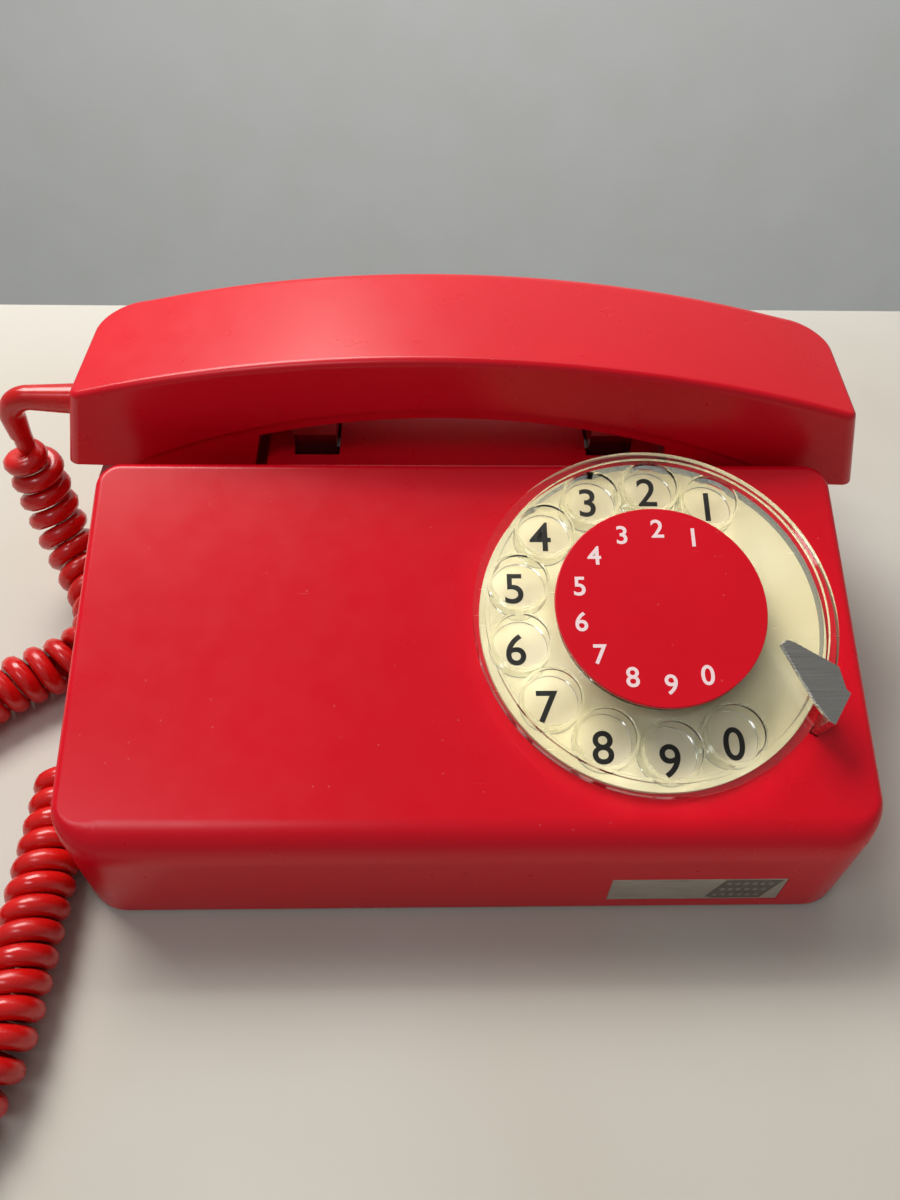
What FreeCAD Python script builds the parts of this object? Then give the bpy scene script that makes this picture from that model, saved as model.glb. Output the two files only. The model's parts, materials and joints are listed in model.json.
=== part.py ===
"""Rotary desk telephone, built piece by piece.

Frame: millimetres, +Z up, +Y to the back, X across, origin under the middle of the telephone
at the plane its rubber feet stand on. The dial pieces are drawn in the dial's own frame
(x across, y up the sloping face, z out of the face) and laid on the face by their Placement;
the handset pieces are drawn about the handset's middle and turned with it in the cradle.
"""
import FreeCAD, Part
import math
import os
import re
import Sketcher
from FreeCAD import Placement, Rotation, Vector

SIZES = {
    # housing
    "body_width": 207.4, "body_depth": 180.0, "front_height": 37.0, "face_slope": 18.1,
    "face_run": 102.9, "wall": 2.6, "plan_corner": 12.5, "front_round": 11.5,
    "side_round": 2.5, "step_corner": 7.0, "seam_height": 5.2,
    "cradle_floor": 60.0, "well_floor": 48.6, "bridge_width": 117.0,
    "ledge_depth": 16.0, "ledge_height": 66.0,
    # base
    "base_gap": 1.5, "base_floor": 2.5, "foot_radius": 7.0, "foot_sink": 1.5,
    "foot_inset_side": 14.0, "foot_inset_end": 16.0, "screw_inset_side": 30.0, "base_inset": 0.1,
    "screw_inset_end": 13.0, "base_screw_radius": 1.5, "screw_head": 2.9, "screw_sink": 1.4, "boss_radius": 4.2,
    # nameplate
    "plate_x": 60.0, "plate_z": 5.8, "plate_length": 46.0, "plate_height": 13.0,
    "plate_thickness": 0.7, "plate_gap": 0.1,
    # dial, in the dial's own frame
    "dial_x": 48.2, "dial_up": 58.8, "dial_opening": 37.0, "number_plate_radius": 45.6,
    "number_plate_thickness": 2.0, "wheel_radius": 47.4, "wheel_low": 2.4, "wheel_top": 9.4,
    "rim_top": 7.6, "rim_low": 4.6, "rim_width": 4.2, "web": 1.8,
    "hole_ring": 36.2, "hole_radius": 7.2, "hole_wall": 0.9, "hole_first": 61.8,
    "hole_pitch": 26.2, "disc_radius": 27.0, "disc_thickness": 1.6, "disc_rise": 2.8,
    "disc_seat": 26.4, "seat_width": 2.3, "hub_radius": 9.0, "hub_thickness": 2.0,
    "stop_gap": 1.5, "stop_thickness": 1.3, "stop_foot_radius": 48.8, "stop_angle": 327.0,
    "stop_foot_width": 8.0, "stop_foot_thickness": 1.8, "shaft_radius": 3.0, "running_gap": 0.05, "seat_gap": 0.02,
    # dial works
    "dial_screw_ring": 40.0, "dial_screw_radius": 1.2, "dial_screw_head": 2.2,
    "works_plate": 1.6, "works_radius": 43.0, "works_depth": 22.0, "back_radius": 37.0,
    "bush_radius": 5.5, "bush_length": 3.4, "pillar_radius": 2.2, "pillar_ring": 33.5,
    "tooth_module": 0.5, "gear_width": 1.6, "main_gear_drop": 5.0, "idler_drop": 9.5,
    "idler_angle": 215.0, "governor_angle": 118.0, "arbor_radius": 1.2,
    "cup_radius": 9.5, "cup_depth": 6.5, "cup_wall": 0.9, "cam_radius": 11.0, "cam_drop": 14.5,
    # hook
    "hook_spread": 44.0, "hook_y": 34.0, "post_width": 12.5, "post_depth": 14.0,
    "post_gap": 0.5, "hook_travel": 5.0, "yoke_thickness": 2.4, "yoke_gap": 0.4,
    "spring_radius": 3.6, "spring_wire": 0.8, "spring_length": 22.0,
    # ringer and electrics
    "ringer_x": -48.0, "ringer_y": -12.0, "gong_spread": 23.5, "gong_radius": 20.0,
    "gong_height": 9.0, "gong_z": 39.0, "clapper_length": 8.5, "clapper_radius": 2.6,
    "pivot_radius": 1.2, "coil_spread": 10.5, "coil_radius": 7.0, "core_height": 24.0,
    "board_x": 0.0, "board_y": 62.0, "board_length": 84.0, "board_depth": 34.0,
    # handset
    "handset_length": 235.4, "end_lean": 0.28, "handset_depth": 46.0, "handset_y": 43.5, "handset_yaw": 2.0,
    "handset_top": 98.5, "top_arc": 400.0, "grip_seam": 82.0, "seam_arc": 216.0,
    "end_seam": 57.5, "grip_lip": 3.6, "cup_floor": 49.0, "cup_in": 64.0, "cup_out": 107.0,
    "grip_half": 55.0, "shell_wall": 2.4, "rear_corner": 14.0, "front_corner": 3.5,
    "rear_edge": 6.0, "front_edge": 2.2, "capsule_radius": 17.6, "capsule_gap": 0.4,
    "receiver_depth": 12.0, "transmitter_depth": 15.0, "handset_rest_gap": 0.4,
    "handset_screw_x": 24.0, "sleeve_y": -11.0, "sleeve_z": 72.5, "sleeve_radius": 4.8,
    "sleeve_tip": 3.7, "sleeve_reach": 21.6, "sleeve_bend": 7.5, "sleeve_drop": 7.0,
    # cord and its entries
    "cord_wire": 5.8, "cord_coil": 17.5, "gland_radius": 4.6, "gland_y": -24.0,
    "gland_z": 11.2, "gland_reach": 10.8, "gland_bend": 7.5, "gland_flange": 6.2,
    "inlet_x": 30.0, "inlet_z": 16.0, "inlet_radius": 4.5, "inlet_bore": 2.6,
}

doc = FreeCAD.newDocument("telephone")
sheet = doc.addObject("Spreadsheet::Sheet", "Sizes")
for row, (alias, number) in enumerate(SIZES.items(), start=1):
    sheet.set("A%d" % row, alias)
    sheet.set("B%d" % row, str(number))
    sheet.setAlias("B%d" % row, alias)
doc.recompute()

PIECES = []
X_AXIS = Vector(1, 0, 0)
Y_AXIS = Vector(0, 1, 0)
Z_AXIS = Vector(0, 0, 1)
UPRIGHT = Rotation()
ALONG_X = Rotation(Y_AXIS, 90)
ALONG_Y = Rotation(X_AXIS, -90)


def bound(text):
    """Turn a formula of size names into one that reads the spreadsheet."""
    def cell(match):
        word = match.group()
        return "Sizes." + word if word in SIZES else word
    return re.sub(r"[a-z][a-z_]*", cell, str(text))


def size(text):
    """The number that a formula of size names gives."""
    result = sheet.evalExpression(bound(text))
    return float(getattr(result, "Value", result))


def bind(item, **formulas):
    for name, formula in formulas.items():
        item.setExpression(name, bound(formula))
    return item


def put(item, x, y, z, rotation=UPRIGHT):
    item.Placement = Placement(Vector(), rotation)
    for axis, formula in zip("xyz", (x, y, z)):
        item.setExpression("Placement.Base." + axis, bound(formula))
    return item


def block(name, x, y, z, length, width, height):
    """A box from its low corner."""
    item = doc.addObject("Part::Box", name)
    bind(item, Length=length, Width=width, Height=height)
    return put(item, x, y, z)


def middle_block(name, x, y, z, length, width, height):
    """A box centred on x and y that stands on z."""
    low_x = "%s - (%s)/2" % (x, length)
    low_y = "%s - (%s)/2" % (y, width)
    return block(name, low_x, low_y, z, length, width, height)


def rod(name, radius, height, x, y, z, rotation=UPRIGHT):
    item = doc.addObject("Part::Cylinder", name)
    bind(item, Radius=radius, Height=height)
    return put(item, x, y, z, rotation)


def cone(name, low_radius, high_radius, height, x, y, z, rotation=UPRIGHT):
    item = doc.addObject("Part::Cone", name)
    bind(item, Radius1=low_radius, Radius2=high_radius, Height=height)
    return put(item, x, y, z, rotation)


def join(name, items):
    item = doc.addObject("Part::MultiFuse", name)
    item.Shapes = items
    item.Refine = True
    return item


def group(name, items):
    item = doc.addObject("Part::Compound", name)
    item.Links = items
    return item


def cut(name, base, *tools):
    """The base without the tools, which must each remove something."""
    for number, tool in enumerate(tools):
        item = doc.addObject("Part::Cut", "%s_%d" % (name, number))
        item.Base = base
        item.Tool = tool
        base = item
    return base


def overlap(name, first, second):
    item = doc.addObject("Part::Common", name)
    item.Base = first
    item.Tool = second
    return item


def origin_plane(body, role):
    return [part for part in body.Origin.OriginFeatures if part.Role == role][0]


def outline_pad(name, role, points, length):
    """A PartDesign body: an outline of straight sides, padded both ways from its plane."""
    body = doc.addObject("PartDesign::Body", name)
    sketch = body.newObject("Sketcher::SketchObject", name + "_outline")
    sketch.AttachmentSupport = [(origin_plane(body, role), "")]
    sketch.MapMode = "FlatFace"
    corners = [Vector(size(a), size(b), 0) for a, b in points]
    count = len(corners)
    for number in range(count):
        side = Part.LineSegment(corners[number], corners[(number + 1) % count])
        sketch.addGeometry(side, False)
    for number in range(count):
        joined = Sketcher.Constraint("Coincident", number, 2, (number + 1) % count, 1)
        sketch.addConstraint(joined)
    for number, pair in enumerate(points):
        for kind, formula, number_now in zip(("DistanceX", "DistanceY"), pair, corners[number]):
            place = Sketcher.Constraint(kind, -1, 1, number, 1, number_now)
            index = sketch.addConstraint(place)
            sketch.setExpression("Constraints[%d]" % index, bound(formula))
    pad = body.newObject("PartDesign::Pad", name + "_pad")
    pad.Profile = sketch
    pad.Midplane = True
    pad.setExpression("Length", bound(length))
    body.Tip = pad
    doc.recompute()
    return body


def edge_ends(edge):
    return edge.valueAt(edge.FirstParameter), edge.valueAt(edge.LastParameter)


def round_edges(name, base, choose):
    """Part::Fillet over the edges for which choose(first, middle, last) gives two radii."""
    doc.recompute()
    rounded = []
    for number, edge in enumerate(base.Shape.Edges, start=1):
        first, last = edge_ends(edge)
        middle = edge.valueAt((edge.FirstParameter + edge.LastParameter) / 2)
        radii = choose(first, middle, last)
        if radii is None:
            continue
        start, end = radii
        if edge.Orientation != "Reversed":
            start, end = end, start
        rounded.append((number, start, end))
    if not rounded:
        raise RuntimeError(name + " found no edge to round")
    item = doc.addObject("Part::Fillet", name)
    item.Base = base
    item.Edges = rounded
    doc.recompute()
    return item


def shape_feature(name, shape):
    item = doc.addObject("Part::Feature", name)
    item.Shape = shape
    return item


def piece(node, item):
    """Name an object as one of the telephone's pieces."""
    item.Label = node
    PIECES.append(item)
    return item


def on_face(item):
    """Lay a piece drawn in the dial's frame on the sloping face."""
    item.Placement = Placement(Vector(), Rotation(X_AXIS, size("face_slope")))
    x, y, z = face_point("0", "0", "0")
    for axis, formula in zip("xyz", (x, y, z)):
        item.setExpression("Placement.Base." + axis, bound(formula))
    item.setExpression("Placement.Rotation.Angle", bound("face_slope"))
    return item


def face_point(across, up, out):
    """World place of a point given in the dial's frame, as three formulas."""
    x = "dial_x + (%s)" % across
    y = "-body_depth/2 + (dial_up + (%s))*cos(face_slope) - (%s)*sin(face_slope)" % (up, out)
    z = "front_height + (dial_up + (%s))*sin(face_slope) + (%s)*cos(face_slope)" % (up, out)
    return x, y, z


def in_cradle(item):
    """Turn a piece drawn about the handset's middle as the handset lies in the cradle."""
    item.Placement = Placement(Vector(), Rotation(Vector(0, 0, -1), size("handset_yaw")))
    item.setExpression("Placement.Base.y", bound("handset_y"))
    item.setExpression("Placement.Rotation.Angle", bound("handset_yaw"))
    return item


# ---------------------------------------------------------------- housing

REAR_FACE = "(-body_depth/2 + face_run)"
FACE_TOP = "(front_height + face_run*tan(face_slope))"
LEDGE_FRONT = "(body_depth/2 - ledge_depth)"


def face_height(y):
    return size("front_height") + (y + size("body_depth") / 2) * math.tan(
        math.radians(size("face_slope")))


def make_top_shell():
    """Wedge cover: sloping face, cradle bridge and wells, rear ledge, all one moulding."""
    outside = outline_pad("cover_outside", "YZ_Plane", [
        ("-body_depth/2", "seam_height"),
        ("-body_depth/2", "front_height"),
        (REAR_FACE, FACE_TOP),
        (REAR_FACE, "cradle_floor"),
        (LEDGE_FRONT, "cradle_floor"),
        (LEDGE_FRONT, "ledge_height"),
        ("body_depth/2", "ledge_height"),
        ("body_depth/2", "seam_height"),
    ], "body_width")
    half_width = size("body_width") / 2
    half_depth = size("body_depth") / 2

    def plan_corner(first, middle, last):
        upright = abs(first.x - last.x) < 0.01 and abs(first.y - last.y) < 0.01
        corner = abs(abs(first.x) - half_width) < 0.01 and abs(abs(first.y) - half_depth) < 0.01
        return (size("plan_corner"),) * 2 if upright and corner else None

    rounded = round_edges("cover_corners", outside, plan_corner)
    wells = [well("cover_well", side, "bridge_width/2", REAR_FACE, LEDGE_FRONT, "well_floor")
             for side in (-1, 1)]
    stepped = cut("cover_stepped", rounded, *wells)
    rear_face = size(REAR_FACE)

    def step_corner(first, middle, last):
        upright = abs(first.x - last.x) < 0.01 and abs(first.y - last.y) < 0.01
        corner = abs(abs(first.x) - half_width) < 0.01 and abs(first.y - rear_face) < 0.01
        return (size("step_corner"),) * 2 if upright and corner else None

    stepped = round_edges("cover_step_corners", stepped, step_corner)
    front, side = size("front_round"), size("side_round")

    def face_edge(first, middle, last):
        if any(abs(point.z - face_height(point.y)) > 0.01 for point in (first, middle, last)):
            return None
        if abs(first.y - last.y) < 0.01:
            return (front, front) if first.y < -half_depth + 1 else (side, side)
        if max(first.y, last.y) < -half_depth + size("plan_corner") + 0.1:
            return (front, side) if first.y < last.y else (side, front)
        return (side, side)

    smooth = round_edges("cover_smooth", stepped, face_edge)
    hollow = make_cover_hollow()
    cover = cut("cover_hollowed", smooth, hollow)
    cover = join("cover_with_bosses", [cover] + cover_bosses())
    cover = cut("cover", cover, *cover_holes())
    return piece("top_shell", cover)


def well(name, side, inner, front, back, floor):
    """Cutting block for one handset well, open above and out of the side of the housing."""
    label = "%s_%s" % (name, "left" if side < 0 else "right")
    reach = "(body_width/2 + 5 - %s)" % inner
    low = "-%s - %s" % (inner, reach) if side < 0 else inner
    return block(label, low, front, floor, reach, "%s - %s" % (back, front), "60")


def make_cover_hollow():
    slope_drop = "wall/cos(face_slope)"
    inside = outline_pad("cover_inside", "YZ_Plane", [
        ("-body_depth/2 + wall", "seam_height - 1"),
        ("-body_depth/2 + wall", "front_height + wall*tan(face_slope) - " + slope_drop),
        (REAR_FACE + " - wall", FACE_TOP + " - wall*tan(face_slope) - " + slope_drop),
        (REAR_FACE + " - wall", "cradle_floor - wall"),
        (LEDGE_FRONT + " + wall", "cradle_floor - wall"),
        (LEDGE_FRONT + " + wall", "ledge_height - wall"),
        ("body_depth/2 - wall", "ledge_height - wall"),
        ("body_depth/2 - wall", "seam_height - 1"),
    ], "body_width - 2*wall")
    half_width = size("body_width/2 - wall")
    half_depth = size("body_depth/2 - wall")

    def plan_corner(first, middle, last):
        upright = abs(first.x - last.x) < 0.01 and abs(first.y - last.y) < 0.01
        corner = abs(abs(first.x) - half_width) < 0.01 and abs(abs(first.y) - half_depth) < 0.01
        return (size("plan_corner - wall"),) * 2 if upright and corner else None

    rounded = round_edges("cover_inside_corners", inside, plan_corner)

    def front_edge(first, middle, last):
        level = abs(first.z - last.z) < 0.01 and abs(first.y - last.y) < 0.01
        top = abs(first.y + half_depth) < 0.01 and first.z > size("seam_height")
        return (size("front_round - wall"),) * 2 if level and top else None

    rounded = round_edges("cover_inside_front", rounded, front_edge)
    wells = [well("inside_well", side, "(bridge_width/2 - wall)", REAR_FACE + " - wall",
                  LEDGE_FRONT + " + wall", "well_floor - wall") for side in (-1, 1)]
    return cut("cover_hollow", rounded, *wells)


SCREW_PLACES = [(side_x, side_y) for side_x in (-1, 1) for side_y in (-1, 1)]


def screw_place(side_x, side_y):
    x = "%d*(body_width/2 - screw_inset_side)" % side_x
    y = "%d*(body_depth/2 - screw_inset_end)" % side_y
    return x, y


def cover_bosses():
    bosses = []
    for number, (side_x, side_y) in enumerate(SCREW_PLACES):
        x, y = screw_place(side_x, side_y)
        top = "front_height + (screw_inset_end - boss_radius)*tan(face_slope) - wall/2"
        if side_y > 0:
            top = "ledge_height - wall/2"
        bosses.append(rod("cover_boss_%d" % number, "boss_radius",
                          top + " - base_gap - base_floor", x, y, "base_gap + base_floor"))
    return bosses


def cover_holes():
    holes = []
    for number, (side_x, side_y) in enumerate(SCREW_PLACES):
        x, y = screw_place(side_x, side_y)
        holes.append(rod("boss_bore_%d" % number, "base_screw_radius + 0.03", "14", x, y, "0"))
    opening = rod("dial_opening_tool", "dial_opening", "3*wall",
                  *face_point("0", "0", "-2*wall"))
    opening.Placement = Placement(Vector(), Rotation(X_AXIS, size("face_slope")))
    opening.setExpression("Placement.Rotation.Angle", bound("face_slope"))
    holes.append(opening)
    holes.append(finger_stop_slot())
    for side in (-1, 1):
        holes.append(middle_block("hook_slot_%d" % (side + 1), "%d*hook_spread" % side, "hook_y",
                                  "cradle_floor - 2*wall", "post_width + 2*post_gap",
                                  "post_depth + 2*post_gap", "3*wall"))
    holes.append(rod("line_inlet_bore", "inlet_radius", "3*wall", "inlet_x",
                     "body_depth/2 - 2*wall", "inlet_z", ALONG_Y))
    holes.append(rod("cord_gland_bore", "gland_radius", "3*wall", "-body_width/2 - wall",
                     "gland_y", "gland_z", ALONG_X))
    holes.append(middle_block("plate_recess", "plate_x", "-body_depth/2", "plate_z - plate_gap",
                              "plate_length + 2*plate_gap",
                              "2*(plate_thickness + plate_gap)",
                              "plate_height + 2*plate_gap"))
    holes.append(on_face(group("dial_screw_bores", [
        rod("dial_screw_bore_%d" % number, "dial_screw_radius + 0.03", "wall - 0.6",
            *ring_place("dial_screw_ring", angle), "-wall")
        for number, angle in enumerate(DIAL_SCREW_ANGLES)])))
    return holes


def ring_place(radius, angle):
    """Place on a circle about the dial axis, as two formulas; the angle is in degrees."""
    return "(%s)*cos(%s)" % (radius, angle), "(%s)*sin(%s)" % (radius, angle)


DIAL_SCREW_ANGLES = ("20", "140", "260")


def at_stop(item):
    """Turn a piece drawn along x to the direction of the finger stop."""
    item.Placement = Placement(Vector(), Rotation(Z_AXIS, size("stop_angle")))
    item.setExpression("Placement.Rotation.Angle", bound("stop_angle"))
    return item


def finger_stop_slot():
    """Slot through the cover beside the dial for the foot of the finger stop."""
    tool = middle_block("stop_slot_tool", "stop_foot_radius + stop_foot_thickness/2", "0",
                        "-2*wall", "stop_foot_thickness + 0.4", "stop_foot_width + 0.4",
                        "3*wall")
    return on_face(group("stop_slot", [at_stop(group("stop_slot_turned", [tool]))]))



# ---------------------------------------------------------------- base

BASE_TOP = "(base_gap + base_floor)"


def make_base():
    """Base tray with a raised rim that the cover stands on."""
    width, depth = "(body_width - 2*base_inset)", "(body_depth - 2*base_inset)"
    tray = middle_block("base_outside", "0", "0", "base_gap", width, depth,
                        "seam_height - base_gap")
    pocket = middle_block("base_pocket", "0", "0", BASE_TOP, width + " - 2*wall",
                          depth + " - 2*wall", "seam_height")

    def corners(radius):
        def choose(first, middle, last):
            upright = abs(first.x - last.x) < 0.01 and abs(first.y - last.y) < 0.01
            return (size(radius),) * 2 if upright else None
        return choose

    tray = round_edges("base_corners", tray, corners("plan_corner - base_inset"))
    pocket = round_edges("base_pocket_corners", pocket, corners("plan_corner - wall"))
    holes = [pocket]
    for number, (side_x, side_y) in enumerate(SCREW_PLACES):
        x, y = screw_place(side_x, side_y)
        holes.append(rod("base_screw_hole_%d" % number, "base_screw_radius + 0.2", "9", x, y, "0"))
        holes.append(rod("base_screw_sink_%d" % number, "screw_head + 0.3", "screw_sink",
                         x, y, "base_gap"))
        x, y = foot_place(side_x, side_y)
        holes.append(rod("foot_sink_%d" % number, "foot_radius + 0.1", "foot_sink", x, y,
                         "base_gap"))
    piece("base_tray", cut("base_tray", tray, *holes))
    feet = []
    screws = []
    for number, (side_x, side_y) in enumerate(SCREW_PLACES):
        x, y = foot_place(side_x, side_y)
        feet.append(rod("foot_%d" % number, "foot_radius", "base_gap + foot_sink", x, y, "0"))
        x, y = screw_place(side_x, side_y)
        head = rod("base_screw_head_%d" % number, "screw_head", "screw_sink - 0.3", x, y,
                   "base_gap + 0.3")
        shank = rod("base_screw_shank_%d" % number, "base_screw_radius", "10", x, y,
                    "base_gap + screw_sink - 0.2")
        screws.append(join("base_screw_%d" % number, [head, shank]))
    piece("rubber_feet", group("rubber_feet", feet))
    piece("base_screws", group("base_screws", screws))


def foot_place(side_x, side_y):
    x = "%d*(body_width/2 - foot_inset_side)" % side_x
    y = "%d*(body_depth/2 - foot_inset_end)" % side_y
    return x, y


def make_wall_fittings():
    """Nameplate let into the front, grommet for the line cord, gland of the handset cord."""
    piece("nameplate", middle_block("nameplate", "plate_x",
                                    "-body_depth/2 + plate_gap + plate_thickness/2", "plate_z",
                                    "plate_length", "plate_thickness", "plate_height"))
    sleeve = rod("inlet_sleeve", "inlet_radius", "wall", "inlet_x", "body_depth/2 - wall",
                 "inlet_z", ALONG_Y)
    collar = rod("inlet_collar", "inlet_radius + 1.8", "1.6", "inlet_x",
                 "body_depth/2 - wall - 1.6", "inlet_z", ALONG_Y)
    bore = rod("inlet_bore", "inlet_bore", "9", "inlet_x", "body_depth/2 - wall - 3", "inlet_z",
               ALONG_Y)
    piece("line_inlet", cut("line_inlet", join("inlet_body", [sleeve, collar]), bore))
    piece("cord_gland", shape_feature("cord_gland", gland_shape()))


def elbow_shape(start, straight, root, tip, bend, heading, side, drop):
    """Moulded strain relief: a tapered run, a right-angle bend and a tapered tail."""
    body = Part.makeCone(root, tip, straight, start, heading)
    turn = start + heading * straight
    ring = Part.Face(Part.Wire(Part.makeCircle(tip, turn, heading)))
    elbow = ring.revolve(turn + side * bend, heading.cross(side), 90)
    end = turn + side * bend + heading * bend
    tail = Part.makeCone(tip, size("cord_wire/2 + 0.3"), drop, end, side)
    return [body, elbow, tail], end + side * drop


def gland_shape():
    """Strain relief in the left wall; its tail points to the front along the wall."""
    outward = Vector(-1, 0, 0)
    wall_point = Vector(-size("body_width/2"), size("gland_y"), size("gland_z"))
    straight = size("gland_reach - gland_bend")
    parts, tip = elbow_shape(wall_point, straight, size("gland_radius - 0.4"),
                             size("sleeve_tip"), size("gland_bend"), outward, Vector(0, -1, 0),
                             size("sleeve_drop"))
    wall = size("wall")
    plug = Part.makeCylinder(size("gland_radius"), wall, wall_point, Vector(1, 0, 0))
    inner = Part.makeCylinder(size("gland_flange - 0.6"), 1.5, wall_point + Vector(wall, 0, 0),
                              Vector(1, 0, 0))
    outer = Part.makeCylinder(size("gland_flange - 0.6"), 1.2, wall_point, outward)
    return plug.fuse(parts + [inner, outer]).removeSplitter()


# ---------------------------------------------------------------- dial

FRAME_TOP = "(-wall - seat_gap)"
FRAME_LOW = "(-wall - works_plate)"
BACK_TOP = "(-wall - works_plate - works_depth)"
MAIN_TEETH, PINION_TEETH, IDLER_TEETH = 72, 15, 60
PILLAR_ANGLES = ("30", "150", "270")
PRESSURE_ANGLE = math.radians(20)


def gear_places():
    """Arbor places in the dial's frame: idler and governor."""
    first = size("tooth_module") * (MAIN_TEETH + PINION_TEETH) / 2
    second = size("tooth_module") * (IDLER_TEETH + PINION_TEETH) / 2
    angle_1 = math.radians(size("idler_angle"))
    angle_2 = math.radians(size("governor_angle"))
    idler = Vector(first * math.cos(angle_1), first * math.sin(angle_1), 0)
    governor = idler + Vector(second * math.cos(angle_2), second * math.sin(angle_2), 0)
    return idler, governor


def gear_shape(teeth, phase, centre, low, width, bore):
    """Spur gear with stub involute teeth, one tooth centred on the phase angle in degrees."""
    module = size("tooth_module")
    pitch = module * teeth / 2
    base = pitch * math.cos(PRESSURE_ANGLE)
    tip = pitch + 0.8 * module
    root = pitch - 1.15 * module
    backlash = 0.08
    half = math.pi / (2 * teeth) - backlash / (2 * pitch)
    half += math.tan(PRESSURE_ANGLE) - PRESSURE_ANGLE
    start = max(base, root)
    flank = []
    for step in range(5):
        radius = start + (tip - start) * step / 4
        roll = math.acos(min(1.0, base / radius))
        flank.append((radius, half - (math.tan(roll) - roll)))
    if root < base:
        flank.insert(0, (root, half))
    points = []
    for tooth in range(teeth):
        middle = math.radians(phase) + 2 * math.pi * tooth / teeth
        sides = [(radius, middle - angle) for radius, angle in flank]
        sides += [(radius, middle + angle) for radius, angle in reversed(flank)]
        points += [centre + Vector(r * math.cos(a), r * math.sin(a), low) for r, a in sides]
    face = Part.Face(Part.makePolygon(points + [points[0]]))
    solid = face.extrude(Vector(0, 0, width))
    return solid.cut(Part.makeCylinder(bore, width + 2, centre + Vector(0, 0, low - 1)))


def disc_shape(radius, low, high, centre=Vector()):
    return Part.makeCylinder(radius, high - low, centre + Vector(0, 0, low))


def make_number_plate():
    plate = rod("number_disc", "number_plate_radius", "number_plate_thickness", "0", "0", "0")
    hole = rod("number_hole", "bush_radius + 0.5", "9", "0", "0", "-3")
    piece("number_plate", on_face(cut("number_plate", plate, hole)))


def make_finger_wheel():
    """Clear finger wheel: a thin web with ten tube-like finger wells and a lowered rim."""
    web = rod("wheel_web", "wheel_radius - rim_width + 1", "web", "0", "0", "wheel_top - web")
    rim = rod("wheel_rim", "wheel_radius", "rim_top - rim_low", "0", "0", "rim_low")
    rim_inside = rod("wheel_rim_inside", "wheel_radius - rim_width", "rim_top - rim_low + 2",
                     "0", "0", "rim_low - 1")
    band = rod("wheel_band", "wheel_radius - rim_width + 1.2", "wheel_top - rim_low", "0", "0",
               "rim_low")
    band_inside = rod("wheel_band_inside", "wheel_radius - rim_width", "wheel_top", "0", "0",
                      "rim_low - 1")
    seat = rod("disc_seat", "disc_seat", "disc_rise", "0", "0", "wheel_top")
    seat_inside = rod("disc_seat_inside", "disc_seat - seat_width", "disc_rise + 2", "0", "0",
                      "wheel_top")
    solids = [web, cut("wheel_rim_ring", rim, rim_inside),
              cut("wheel_band_ring", band, band_inside), cut("disc_seat_ring", seat, seat_inside)]
    holes = [rod("wheel_bore", "shaft_radius + 0.05", "30", "0", "0", "-5")]
    for number in range(10):
        angle = "hole_first + %d*hole_pitch" % number
        place = ring_place("hole_ring", angle)
        solids.append(rod("well_tube_%d" % number, "hole_radius + hole_wall",
                          "wheel_top - wheel_low", *place, "wheel_low"))
        holes.append(rod("well_bore_%d" % number, "hole_radius", "20", *place, "-3"))
    piece("finger_wheel", on_face(cut("finger_wheel", join("wheel_solid", solids),
                                      group("wheel_holes", holes))))


def make_centre_disc():
    plate = rod("disc_plate", "disc_radius", "disc_thickness", "0", "0", "wheel_top + disc_rise")
    skirt = rod("disc_skirt", "disc_seat - seat_width - 0.1", "disc_rise - 0.2", "0", "0",
                "wheel_top + 0.2")
    inside = rod("disc_skirt_inside", "disc_seat - seat_width - 1.3", "disc_rise", "0", "0",
                 "wheel_top")
    piece("centre_disc", on_face(cut("centre_disc", join("disc_solid", [plate, skirt]), inside)))


def make_dial_shaft():
    shaft = rod("shaft_rod", "shaft_radius", "wheel_top - %s + works_plate" % BACK_TOP, "0", "0",
                BACK_TOP + " - works_plate")
    hub = rod("shaft_hub", "hub_radius", "hub_thickness", "0", "0",
              "wheel_top - web - hub_thickness")
    bore = rod("shaft_bore", "1.53", "12", "0", "0", "wheel_top - 10")
    piece("dial_shaft", on_face(cut("dial_shaft", join("shaft_solid", [shaft, hub]), bore)))
    head = rod("dial_screw_head", "4", "disc_rise - 0.4", "0", "0", "wheel_top")
    shank = rod("dial_screw_shank", "1.5", "9", "0", "0", "wheel_top - 8.9")
    piece("wheel_screw", on_face(join("wheel_screw", [head, shank])))


def make_finger_stop():
    """Bent steel stop: a foot through the cover, a flange under the works, a blade on top."""
    blade_low = "(wheel_top + stop_gap)"
    foot = middle_block("stop_foot", "stop_foot_radius + stop_foot_thickness/2", "0",
                        FRAME_LOW + " - stop_thickness", "stop_foot_thickness",
                        "stop_foot_width",
                        "wheel_top + stop_gap + 2*stop_thickness - " + FRAME_LOW)
    flange = block("stop_flange", "works_radius - 5", "-stop_foot_width/2",
                   FRAME_LOW + " - stop_thickness",
                   "stop_foot_radius + stop_foot_thickness - works_radius + 5",
                   "stop_foot_width", "stop_thickness")
    corners = [(31.2, 9.6), (30.4, 7.6), (44.2, -1.6), (49.1, -4.0), (50.6, -3.4),
               (50.6, 5.4), (49.1, 5.9), (45.2, 10.2), (33.2, 10.0)]
    low = size(blade_low)
    points = [Vector(a, b, low) for a, b in corners]
    blade = Part.Face(Part.makePolygon(points + [points[0]]))
    blade = shape_feature("stop_blade", blade.extrude(Vector(0, 0, size("stop_thickness"))))
    solid = join("stop_solid", [foot, flange, blade])
    piece("finger_stop", on_face(group("finger_stop", [at_stop(solid)])))


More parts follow.
